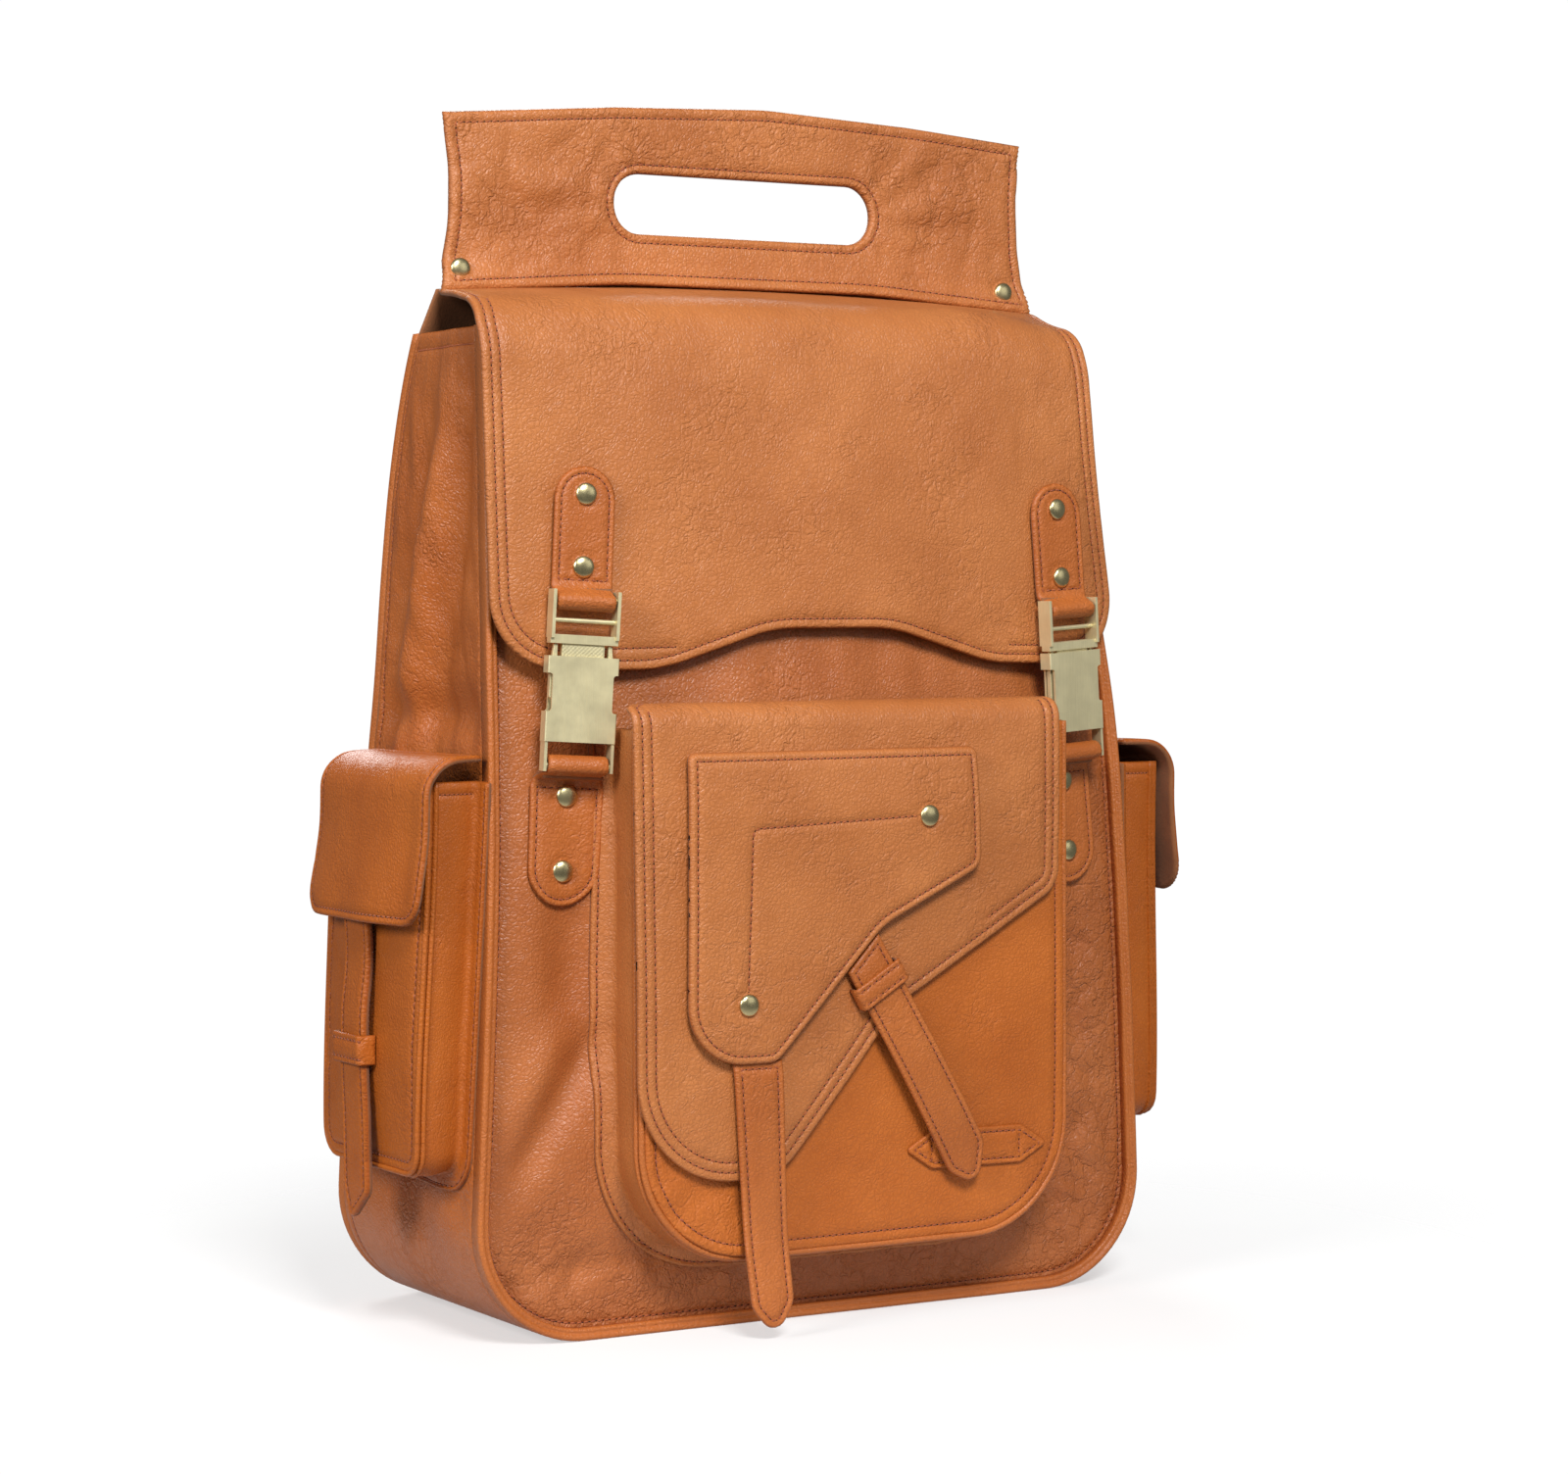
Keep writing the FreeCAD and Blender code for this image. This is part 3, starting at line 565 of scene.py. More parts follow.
class Finish:
    """A procedural material, built node by node."""

    def __init__(self, name):
        self.material = bpy.data.materials.new(name)
        self.material.use_nodes = True
        self.tree = self.material.node_tree
        self.shader = self.tree.nodes["Principled BSDF"]

    def put(self, socket, value):
        if isinstance(value, bpy.types.NodeSocket):
            self.tree.links.new(value, socket)
        else:
            socket.default_value = value

    def node(self, kind, sockets=(), **settings):
        made = self.tree.nodes.new("ShaderNode" + kind)
        for key, value in settings.items():
            setattr(made, key, value)
        for key, value in dict(sockets).items():
            self.put(made.inputs[key], value)
        return made

    def set(self, **sockets):
        for key, value in sockets.items():
            self.put(self.shader.inputs[key.replace("_", " ")], value)

    def grain(self):
        return self.node("Attribute", attribute_name="grain").outputs["Vector"]

    def noise(self, where, scale, detail=2.0, roughness=0.5):
        made = self.node("TexNoise", {"Vector": where, "Scale": scale, "Detail": detail,
                                      "Roughness": roughness}, noise_type="FBM")
        return made.outputs["Fac"]

    def cells(self, where, scale):
        """Distance from the borders of a net of cells."""
        made = self.node("TexVoronoi", {"Vector": where, "Scale": scale},
                         feature="DISTANCE_TO_EDGE")
        return made.outputs["Distance"]

    def span(self, value, low, high, to_low=0.0, to_high=1.0):
        made = self.node("MapRange", {"Value": value, "From Min": low, "From Max": high,
                                      "To Min": to_low, "To Max": to_high})
        return made.outputs["Result"]

    def maths(self, operation, a, b):
        made = self.node("Math", {0: a, 1: b}, operation=operation)
        return made.outputs[0]

    def plus(self, a, b):
        return self.maths("ADD", a, b)

    def times(self, a, b):
        return self.maths("MULTIPLY", a, b)

    def mix(self, share, a, b):
        made = self.node("Mix", {"Factor": share}, data_type="RGBA", blend_type="MIX")
        colours = [s for s in made.inputs if s.type == "RGBA"]
        self.put(colours[0], a)
        self.put(colours[1], b)
        return [s for s in made.outputs if s.type == "RGBA"][0]

    def bumped(self, height, strength, distance):
        made = self.node("Bump", {"Height": height, "Strength": strength,
                                  "Distance": distance})
        return made.outputs["Normal"]


def shaded(colour, *shares):
    """A colour with its red, green and blue multiplied by the shares, up to full."""
    return tuple(min(c * k, 1.0) for c, k in zip(colour, (*shares, 1.0)))


def leather_finish(name, colour, gloss, wrinkle, shine=0.42):
    """Full grain leather: pebbled, creased, mottled, dark along its cut edges."""
    f = Finish(name)
    where = f.grain()
    wear = f.node("Attribute", attribute_name="wear").outputs["Fac"]
    # a little warping keeps the cells of the grain from looking like a net
    warp = f.node("TexNoise", {"Vector": where, "Scale": 150.0, "Detail": 3.0})
    moved = f.node("VectorMath", {0: warp.outputs["Color"], "Scale": 0.005}, operation="SCALE")
    bent = f.node("VectorMath", {0: where, 1: moved.outputs[0]}, operation="ADD").outputs[0]
    pebble = f.span(f.cells(bent, 560.0), 0.0, 0.30)
    pores = f.noise(bent, 2200.0, 2.0)
    # creases: a net of cells and the lines where a noise crosses its middle, in patches
    net = f.span(f.cells(bent, 150.0), 0.0, 0.12, 1.0, 0.0)
    wander = f.maths("ABSOLUTE", f.maths("SUBTRACT", f.noise(bent, 55.0, 4.0, 0.6), 0.5), 0.0)
    lines = f.span(wander, 0.0, 0.035, 1.0, 0.0)
    patch = f.span(f.plus(f.times(wear, 0.45), f.noise(where, 26.0, 2.0)), 0.64, 0.86)
    crease = f.times(f.maths("MAXIMUM", f.times(net, 0.7), lines), patch)
    lumps = f.noise(where, 115.0, 3.0, 0.55)
    blotch = f.noise(where, 16.0, 3.0, 0.6)
    mottle = f.noise(where, 240.0, 4.0, 0.65)
    dark = shaded(colour, 0.82, 0.74, 0.66)
    light = shaded(colour, 1.10, 1.13, 1.18)
    deep = shaded(colour, 0.55, 0.42, 0.32)
    tone = f.mix(f.span(blotch, 0.32, 0.70), dark, light)
    tone = f.mix(f.span(mottle, 0.25, 0.8, 0.0, 0.30), tone, dark)
    tone = f.mix(f.span(pebble, 0.0, 0.6, 0.20, 0.0), tone, deep)
    # painted shade: the creases are darkened towards deep, standing in for the shade that falls in
    # them; the bump below dents them as well
    tone = f.mix(f.times(crease, 0.14 * wrinkle), tone, deep)
    # the cut edge is dark, and the leather just inside it is rubbed light
    rim = f.node("Attribute", attribute_name="edge").outputs["Fac"]
    tone = f.mix(f.span(rim, 0.15, 0.6, 0.5, 0.0), tone, deep)
    rubbed = f.times(f.span(rim, 0.7, 1.1), f.span(rim, 1.4, 3.2, 0.22, 0.0))
    tone = f.mix(rubbed, tone, light)
    height = f.plus(f.times(pebble, 0.16 + 0.18 * wrinkle), f.times(pores, 0.08))
    height = f.plus(height, f.times(lumps, 0.75 * wrinkle))
    height = f.maths("SUBTRACT", height, f.times(crease, 0.9 * wrinkle))
    rough = f.span(f.plus(mottle, crease), 0.2, 1.3, gloss - 0.07, gloss + 0.16)
    f.set(Base_Color=tone, Roughness=rough, Specular_IOR_Level=shine, Coat_Weight=0.05,
          Coat_Roughness=0.32, Normal=f.bumped(height, 0.8, 0.0006))
    return f.material


def suede_finish(name, colour):
    """The flesh side of leather, napped and matt."""
    f = Finish(name)
    where = f.grain()
    nap = f.noise(where, 900.0, 4.0, 0.7)
    tone = f.mix(f.span(f.noise(where, 60.0, 3.0), 0.3, 0.7),
                 shaded(colour, 0.75, 0.75, 0.75), colour)
    f.set(Base_Color=tone, Roughness=f.span(nap, 0.2, 0.8, 0.82, 0.95), Sheen_Weight=0.08,
          Sheen_Roughness=0.6, Normal=f.bumped(nap, 0.5, 0.0004))
    return f.material


def thread_finish():
    """Twisted polyester thread."""
    f = Finish("thread")
    where = f.node("TexCoord").outputs["Object"]
    ply = f.noise(where, 1500.0, 2.0)
    tone = f.mix(f.span(f.noise(where, 90.0), 0.3, 0.7),
                 linear(136, 60, 22), linear(166, 86, 38))
    f.set(Base_Color=tone, Roughness=f.span(ply, 0.3, 0.7, 0.5, 0.7), Sheen_Weight=0.2,
          Normal=f.bumped(ply, 0.4, 0.0002))
    return f.material


def hole_shade_finish():
    # painted shade: the dark brown stands in for the shade inside the needle holes
    f = Finish("needle_hole_shade")
    soft = f.noise(f.node("TexCoord").outputs["Object"], 700.0)
    f.set(Base_Color=f.mix(soft, linear(44, 14, 4), linear(74, 27, 8)),
          Roughness=f.span(soft, 0, 1, 0.75, 0.9))
    return f.material


def lining_finish():
    """Dark brown twill."""
    f = Finish("lining_twill")
    where = f.grain()
    wave = f.node("TexWave", {"Vector": where, "Scale": 420.0, "Distortion": 0.6,
                              "Detail": 1.0, "Detail Scale": 2.0},
                  bands_direction="DIAGONAL").outputs["Fac"]
    tone = f.mix(wave, linear(34, 15, 12), linear(66, 32, 25))
    f.set(Base_Color=tone, Roughness=f.span(wave, 0, 1, 0.72, 0.86), Sheen_Weight=0.25,
          Normal=f.bumped(wave, 0.5, 0.0003))
    return f.material


def board_finish():
    """Grey-brown fibreboard."""
    f = Finish("fibreboard")
    where = f.node("TexCoord").outputs["Object"]
    fibre = f.noise(where, 500.0, 5.0, 0.7)
    tone = f.mix(f.span(fibre, 0.3, 0.7), linear(108, 86, 62), linear(150, 124, 94))
    f.set(Base_Color=tone, Roughness=f.span(fibre, 0, 1, 0.8, 0.95),
          Normal=f.bumped(fibre, 0.4, 0.0003))
    return f.material


def brass_finish(name="antique_brass", stretch=(1.0, 1.0, 0.03), rough=0.38, metal=0.6,
                 light=(240, 229, 184), dark=(196, 180, 130)):
    """Brushed antique brass: fine scratches one way, darker where it isn't rubbed."""
    f = Finish(name)
    where = f.node("TexCoord").outputs["Object"]
    laid = f.node("Mapping", {"Vector": where, "Scale": stretch}).outputs["Vector"]
    brush = f.noise(laid, 2600.0, 3.0, 0.6)
    cloud = f.noise(where, 130.0, 3.0, 0.6)
    tone = f.mix(f.span(cloud, 0.3, 0.7), linear(*(c * 0.95 for c in light)), linear(*light))
    tone = f.mix(f.span(brush, 0.25, 0.75, 0.0, 0.35), tone, linear(*dark))
    f.set(Base_Color=tone, Metallic=metal,
          Roughness=f.span(f.plus(brush, cloud), 0.6, 1.4, rough - 0.06, rough + 0.14),
          Normal=f.bumped(brush, 0.16, 0.0001))
    return f.material


tan = leather_finish("tan_leather", linear(193, 119, 64), 0.44, 0.7)
smooth_tan = leather_finish("tan_leather_smooth", linear(189, 107, 48), 0.44, 0.5)
creased_tan = leather_finish("tan_leather_creased", linear(192, 118, 64), 0.42, 1.0)
# painted shade: the front panel's copy of the tan is darker than the rest, standing in for the
# shade on the bag's front
shaded_front_tan = leather_finish("tan_leather_front_painted_shade", linear(182, 106, 55), 0.42, 1.0)
plain_tan = leather_finish("tan_leather_plain", linear(195, 108, 43), 0.46, 0.5, 0.30)
gusset_tan = leather_finish("tan_leather_gusset", linear(186, 104, 47), 0.34, 0.8, 0.36)
# painted shade: the side pockets' copy of the tan is darker than the rest, standing in for the
# shade on the bag's sides
shaded_side_tan = leather_finish("tan_leather_side_painted_shade", linear(184, 99, 34), 0.42, 0.5, 0.3)
suede = suede_finish("tan_suede", linear(148, 90, 48))
thread = thread_finish()
needle_hole_shade = hole_shade_finish()
lining_cloth = lining_finish()
brass = brass_finish()
rivet_brass = brass_finish("rivet_brass", (1.0, 1.0, 1.0), 0.26, 1.0, (222, 209, 160),
                           (160, 142, 96))
LEATHERS = (tan, suede, thread, needle_hole_shade)
SMOOTH = (smooth_tan, suede, thread, needle_hole_shade)
FRONT = (shaded_front_tan, suede, thread, needle_hole_shade)
PLAIN = (plain_tan, suede, thread, needle_hole_shade)
GUSSET = (gusset_tan, suede, thread, needle_hole_shade)
SIDE = (shaded_side_tan, suede, thread, needle_hole_shade)


# ---- body -----------------------------------------------------------------------
FOLD_AT = (-110.0, 112.0)         # the fold beside the front pocket's lower left corner
FOLD_WAY = (-0.536, -0.844)
LINING_TOP = 394.0
LINING_DEPTH = 4.2                # below the leather's outer face
LINING_THICK = 0.8
BODY_CORNERS = [(-144, 400), (-150, 200), (-158.5, 0, BODY_CORNER), (158.5, 0, BODY_CORNER),
                (150, 200), (144, 400)]
BODY = Line(rounded(BODY_CORNERS, 2.0, closed=False))


def rim_of(x, z):
    """0 at the body's seams, 1 well inside, seen from the front."""
    half = along(HALF_WIDTH, z)
    return ramp(half - np.abs(x), 0, 30) * ramp(z, 0, 30)


def front_y(x, z):
    """Outer face of the front panel."""
    half = along(HALF_WIDTH, z)
    y = along(FRONT_EDGE, z) - along(FRONT_BULGE, z) * (1 - np.clip(np.abs(x) / half, 0, 1) ** 2)
    dent = 6.5 * bump(x, -113, 13) * bump(z, 150, 50) + 3.0 * bump(x, 122, 12) * bump(z, 120, 80)
    from_x, from_z = x - FOLD_AT[0], z - FOLD_AT[1]
    down = from_x * FOLD_WAY[0] + from_z * FOLD_WAY[1]
    beside = from_z * FOLD_WAY[0] - from_x * FOLD_WAY[1]
    fold = 4.5 * bump(beside, 0, 7) * ramp(down, -30, 8) * ramp(70 - down, 0, 28)
    fold -= 2.2 * bump(beside, -15, 8) * ramp(down, -20, 15) * ramp(70 - down, 0, 30)
    low = 2.4 * bump(z - 0.15 * (x + 150), 22, 7) * ramp(-x, -30, 120)
    return y + rim_of(x, z) * (dent + fold + low)


def crumpled(x, z):
    """How creased the front panel is: most at its right side and low down."""
    return np.maximum(ramp(x, 88, 118) * ramp(260 - z, 0, 90), 0.7 * ramp(-z, -64, -26))


def slumped(x, y, z):
    """The bag's front leans inwards at its upper right."""
    return x - 14.0 * ramp(x, 70, 150) * ramp(z, 220, 395) * ramp(-y, 0, 45)


def front_skin(x, z, h):
    """The front panel's leather, as a surface."""
    rough = crumpled(x, z)
    lift = wrinkled(x, z, 11.0, 1.1, 0.35 + rough)
    lift = lift + rough * (2.1 * ripple(x * 1.3 + z * 0.4, z * 1.2, 21.0, 13.0)
                           + 1.5 * creases(x + 0.5 * z, z * 1.2, 22.0, 15.0))
    gathered = bump(z, 266, 24) * ramp(124 - np.abs(x), 0, 30)      # under the main flap
    lift = lift + 1.5 * gathered * ripple(x, 0.25 * z, 17.0, 19.0)
    y = front_y(x, z) - rim_of(x, z) * lift - h
    return slumped(x, y, z), y, z


def back_skin(x, z, h):
    """The back panel's leather, as a surface."""
    half = along(HALF_WIDTH, z)
    puff = 5.0 * (1 - (x / half) ** 2) * ramp(z, 0, 60) * ramp(418 - z, 0, 60)
    lift = rim_of(x, z) * wrinkled(x, z, 23.0, 1.2, 0.3)
    return x, along(BACK_EDGE, z) + puff + lift + h, z


def strip_skin(s, v, h):
    """Gusset strip: s runs down the left side and up the right, v back from the front seam."""
    x, z = BODY.at(s)
    out_x, out_z = BODY.normal(s, 5.0)
    front = along(FRONT_EDGE, z)
    y = front + (along(BACK_EDGE, z) - front) * v / STRIP_WIDTH
    free = ramp(z, 10, 80) * ramp(v, 0, 16) * ramp(STRIP_WIDTH - v, 0, 16)
    ridge_at = 46 + 36 * ramp(380 - z, 0, 150)
    high = bump(z, 300, 80)
    folds = high * (6.0 * bump(v, ridge_at, 14) - 4.5 * bump(v, ridge_at - 28, 15)
                    - 3.0 * bump(v, ridge_at + 27, 12))
    folds -= 4.0 * bump(v - 0.25 * z, 40, 16) * bump(z, 55, 34)
    folds -= 4.0 * bump(z, 247, 9)          # drawn in above the side pocket
    waves = 2.0 * ripple(s, v, 60.0, 31.0) + 1.3 * ripple(s * 1.2 + v, v * 1.6, 26.0, 37.0)
    free = free * (0.25 + 0.75 * ramp(400 - z, 0, 30))
    out = h + free * (waves + folds + wrinkled(s, v, 41.0, 0.6, 0.6))
    x, z = x + out_x * out, z + out_z * out
    return slumped(x, y, z), y, z


def over_strap(left, right, base, top):
    """Line of a keeper: out from the bag, over a strap and in again."""
    return Line(rounded([(left, base), (left, top, 1.6), (right, top, 1.6), (right, base)],
                        0.8, False))


def lowered(surface, depth):
    """A surface that lies deeper inside the bag."""
    return lambda a, b, h: surface(a, b, h - depth)


def make_panel(name, corners, surface, body, nodes, finishes=LEATHERS, **options):
    """A visible piece of one panel, riding on body and standing for the CAD nodes."""
    piece = Piece()
    panel(piece, corners, surface, **options)
    return piece.make(name, finishes, body, nodes)


def make_body():
    make_panel("front_panel_leather", BODY_CORNERS, front_skin, "shell", ["front_panel"],
               FRONT, rows=[hem(BODY_CORNERS, 6.5)], step=2.8,
               wear=lambda x, z: 0.3 + 0.7 * crumpled(x, z))
    back = [(-140.9, SEAM_TOP)] + BODY_CORNERS + [(140.9, SEAM_TOP), (60, 424.5, 200),
                                                  (-60, 424.5, 200)]
    make_panel("back_panel_leather", back, back_skin, "shell", ["back_panel"],
               rows=[hem(back, 6.0)], step=4.0)
    seam_left = BODY.place_of(0, -GUSSET_SEAM_X)
    seam_right = BODY.place_of(0, GUSSET_SEAM_X)
    for name, low, high, top in (("left", 0.0, seam_left + 3.0, 7.0),
                                 ("right", seam_right - 3.0, BODY.length, BODY.length - 7.0)):
        rows = [run((low + 4, STRIP_WIDTH - 5), (high - 4, STRIP_WIDTH - 5)),
                run((top, 4), (top, STRIP_WIDTH - 8))]
        make_panel("gusset_leather_" + name, box(low, 0.0, high, STRIP_WIDTH), strip_skin,
                   "shell", ["side_gusset_" + name], GUSSET, rows=rows, step=3.0)
    rows = [run((s, 4), (s, STRIP_WIDTH - 4)) for s in (seam_left + 5, seam_right - 5)]
    make_panel("base_leather", box(seam_left, 0.0, seam_right, STRIP_WIDTH), strip_skin,
               "shell", ["base_panel"], GUSSET, rows=rows, step=4.0)


def make_lining():
    piece = Piece()
    inner = [(x, min(z, LINING_TOP), *radius) for x, z, *radius in shrunk(BODY_CORNERS, 5.0)]
    strip = box(6.0, 4.0, BODY.length - 6, STRIP_WIDTH - 4)
    for corners, skin in ((inner, front_skin), (inner, back_skin), (strip, strip_skin)):
        panel(piece, corners, lowered(skin, LINING_DEPTH), LINING_THICK, step=6.0)
    cloth = (lining_cloth, lining_cloth, thread, needle_hole_shade)
    piece.make("lining_cloth", cloth, "shell", ["lining"], "lining")


def welt_section():
    """Two folded leather edges side by side, across (0 at the outline) and forward."""
    points = [(-0.2, -1.0)]
    for a, b, radius, first, last in ((-1.6, 4.5, 1.4, -30, 150), (-4.0, 3.8, 1.2, 50, 205)):
        for k in range(7):
            angle = math.radians(first + (last - first) * k / 6)
            points.append((a + radius * math.cos(angle), b + radius * math.sin(angle)))
    points.append((-5.0, -1.0))
    return points


def make_welt(name, edge, facing, node):
    """Folded seam round the front or the back of the body."""
    piece = Piece()
    s = np.arange(0.0, BODY.length, 4.0)
    x, z = BODY.at(s)
    out_x, out_z = BODY.normal(s, 5.0)
    wobble = 0.35 * ripple(s, 0 * s, 30.0, 3.0)
    y = along(edge, z) + facing * wobble
    points = np.stack([slumped(x + 0.2 * out_x, y, z), y, z + 0.2 * out_z], axis=1)
    across = np.stack([out_x, 0 * s, out_z], axis=1)
    forward = np.broadcast_to((0.0, facing, 0.0), points.shape)
    sweep(piece, points, across, forward, welt_section())
    piece.make(name, SMOOTH, "shell", [node])


def pipes(piece, outline, place, toward, sway, sides, cords):
    """Round folded edges along a pocket's rim, each of them (out, depth, radius)."""
    s = np.arange(0.0, outline.length, 3.0)
    a, b = outline.at(s)
    out_a, out_b = outline.normal(s, 6.0)
    across = np.stack(place(out_a, out_b, 0 * s), axis=1)
    forward = np.stack(place(0 * s, 0 * s, 0 * s + toward), axis=1)
    for out, depth, radius in cords:
        points = place(a + out * out_a, b + out * out_b, depth + sway(s, b))
        sweep(piece, np.stack(points, axis=1), across, forward, circle(radius, sides))


# ---- front pocket ---------------------------------------------------------------
POCKET_FRONT = -97.0
POCKET_CORNERS = [(-98.5, 242), (-98.5, 33, 45), (98.5, 33, 45), (98.5, 242)]
POCKET = Line(rounded(POCKET_CORNERS, 2.0, closed=False))
FLAP_FRONT = -100.4
FLAP_TOP = 251.6
OVERLAY_FRONT = -104.2
STRAP_FRONT = -103.4
WALL_WIDTH = 40.0
FLANGE = 8.0


def puff(x, z):
    """How far the stuffed pocket and all that lies on it stand forward."""
    across = 1 - np.clip(np.abs(x) / 108, 0, 1) ** 2
    return 4.0 * across * ramp(z, 30, 120) * ramp(254 - z, 0, 50)


def pocket_skin(x, z, h):
    low_left = ramp(-x, 10, 80) * ramp(-z, -92, -50)        # most creased there
    free = 0.25 + 2.2 * low_left
    lift = np.minimum(wrinkled(x, z, 51.0, 0.5 + 2.0 * low_left, 0.35 + 3.0 * low_left), free)
    lift = lift + 1.2 * low_left * ripple(x + z, x - z, 14.0, 53.0)
    return x, POCKET_FRONT - puff(x, z) - lift - h, z


def wall_skin(outline, front, root, toward, place):
    """A pocket's side: s round the outline, v from the front rim to its sewn flange.

    front and root give the depths of the rim and of the bag, place puts (a, b, depth)
    in the bag's axes, and toward is the sign of depth on the way out.
    """
    def surface(s, v, h):
        a, b = outline.at(s)
        out_a, out_b = outline.normal(s, 6.0)
        t = v / WALL_WIDTH
        swell = 1.6 * np.sin(np.pi * np.clip(t / 0.75, 0, 1)) * (1 + 0.6 * ripple(s, v, 40.0, 61.0))
        out = 0.6 + swell + FLANGE * ramp(t, 0.70, 1.0) * np.clip((t - 0.70) / 0.30, 0, 1) ** 0.2
        tilt = ramp(t, 0.62, 0.86) * math.pi / 2
        base = root(a + out_a * out, b + out_b * out)
        rim = front(a, b)
        depth = rim + (base - rim) * np.clip(t / 0.80, 0, 1)
        out = out + h * np.cos(tilt)
        return place(a + out_a * out, b + out_b * out, depth + toward * h * np.sin(tilt))
    return surface


def pocket_root(x, z):
    """Depth at which the front pocket's flange meets the front panel."""
    return front_skin(x, z, 0.0)[1] - 2.2


def pocket_place(x, z, y):
    return x, y, z


pocket_wall = wall_skin(POCKET, lambda x, z: POCKET_FRONT + 1.4 + 0 * x, pocket_root, -1.0,
                        pocket_place)
FLAP_FOLD = Line(rounded([(-83, FLAP_TOP), (FLAP_FRONT, FLAP_TOP, 9), (FLAP_FRONT, 50)],
                         1.0, False))


def flap_s(z):
    """Length along the pocket flap, from its rear, at which it hangs down to z."""
    return FLAP_FOLD.place_of(1, z)


def pocket_flap_skin(x, s, h):
    y, z = FLAP_FOLD.at(s)
    out_y, out_z = FLAP_FOLD.normal(s, 2.0)
    rise = np.maximum(wrinkled(x, z, 71.0, 0.5, 0.3) + 0.2, -0.1) * ramp(s, 0, 30)
    out = h + rise + puff(x, z)
    return x, y + out_y * out, z + out_z * out


def overlay_skin(x, z, h):
    rise = 0.3 * ripple(x, z, 30.0, 81.0) + 0.35
    tuck = 1.2 * ramp(z, 229, 234)
    return x, OVERLAY_FRONT - 1.0 - puff(x, z) - rise + tuck - h, z


RIVET_RADIUS = 4.4
DIMPLE_RADIUS = 5.2


def rivet(piece, surface, a, b):
    """Domed cap pressed into the leather at (a, b)."""
    centre, tip = (np.array(surface(*np.array([[a], [b], [h]]))).ravel() for h in (0.0, 1.0))
    radius = RIVET_RADIUS
    profile = [(0.4 * radius, -0.6), (0.92 * radius, -0.5), (radius, -0.1), (radius, 0.25)]
    for k in range(1, 9):
        angle = math.pi / 2 * k / 8
        profile.append((radius * math.cos(angle) * 0.98 + 0.01, 0.3 + 1.55 * math.sin(angle)))
    lathe(piece, centre, tip - centre, profile, 28)


def dimple(a, b):
    """Pressed ring that a rivet leaves round itself."""
    turns = [k * math.pi / 6 for k in range(12)]
    points = [(a + DIMPLE_RADIUS * math.cos(t), b + DIMPLE_RADIUS * math.sin(t)) for t in turns]
    return Row(points, stitched=False, depth=0.45, reach=1.6)


OVERLAY_RIVETS = ((25.3, 205.3), (-57.9, 133.5))


def make_front_pocket():
    make_panel("pocket_face_leather", POCKET_CORNERS, pocket_skin, "shell", ["pocket_face"],
               PLAIN, rows=[hem(POCKET_CORNERS, 4.6)], step=2.8,
               wear=lambda x, z: 0.4 + 0.6 * ramp(-x, 10, 80) * ramp(-z, -110, -50))
    length = POCKET.length
    rows = [run((3, 0.91 * WALL_WIDTH), (length - 3, 0.91 * WALL_WIDTH))]
    make_panel("pocket_gusset_leather", box(0, 0, length, WALL_WIDTH), pocket_wall, "shell",
               ["pocket_gusset"], rows=rows, step=2.8)
    piece = Piece()
    pipes(piece, POCKET, pocket_place, -1.0, lambda s, z: 0.2 * ripple(s, 0 * s, 25.0, 9.0),
          12, ((0.7, -96.0, 1.35), (1.4, -93.2, 1.3)))
    piece.make("pocket_welt_leather", SMOOTH, "shell", ["pocket_welt"])

    tab = [(19.5, 69.5, 1.5), (32.5, 77, 4), (76, 76.3, 4), (89.5, 67.8, 1.5), (76, 60.4, 4),
           (32.5, 61, 4)]
    rows = [hem(tab, 2.4), run((32, 63.5), (32, 74.5)), run((75, 63), (75, 74))]
    make_panel("pocket_tab_leather", tab,
               lambda x, z, h: (x, POCKET_FRONT - 1.6 - puff(x, z) - h, z),
               "shell", ["pocket_tab"], PLAIN, thick=1.6, rows=rows, step=2.4, edge=0.8)


def make_pocket_flap():
    low, mid, high = flap_s(63.5), flap_s(129.5), flap_s(174.0)
    corners = [(-94, 0), (-104, 12), (-102.5, low, 42), (-40, low, 24), (14, mid, 40),
               (93.5, high, 14), (95, 12), (93, 0)]
    inner = shrunk(corners, -7.6)         # the list runs clockwise, so inwards is negative
    meet, right = (np.array(inner[i][:2]) for i in (4, 5))
    rows = [Row(shrunk(corners, -3.6)),
            run(*inner[1:5], tuple(meet + 0.12 * (right - meet))),
            run(tuple(meet + 0.62 * (right - meet)), inner[5], inner[6])]
    make_panel("pocket_flap_leather", corners, pocket_flap_skin, "front_pocket_flap",
               ["pocket_flap"], thick=2.6, rows=rows, step=2.8)

    plan = [(-82.5, 232.5, 3), (-83.5, 110, 24), (-45, 110, 8), (4, 162, 30), (51.5, 184, 8),
            (50, 232.5, 3)]
    (xa, za), (xb, zb) = OVERLAY_RIVETS
    corner = (-55.3, 202.3, 3)
    rows = [hem(plan, 3.3), run((xa - 5, za), corner, (xb, zb + 5))]
    rows += [dimple(a, b) for a, b in OVERLAY_RIVETS]
    make_panel("overlay_leather", plan, overlay_skin, "overlay", ["overlay_flap"], thick=3.5,
               rows=rows, step=2.6, edge=1.3)
    piece = Piece()
    for a, b in OVERLAY_RIVETS:
        rivet(piece, overlay_skin, a, b)
    piece.make("overlay_rivet_caps", [rivet_brass], "overlay", ["overlay_rivets"], "brass")


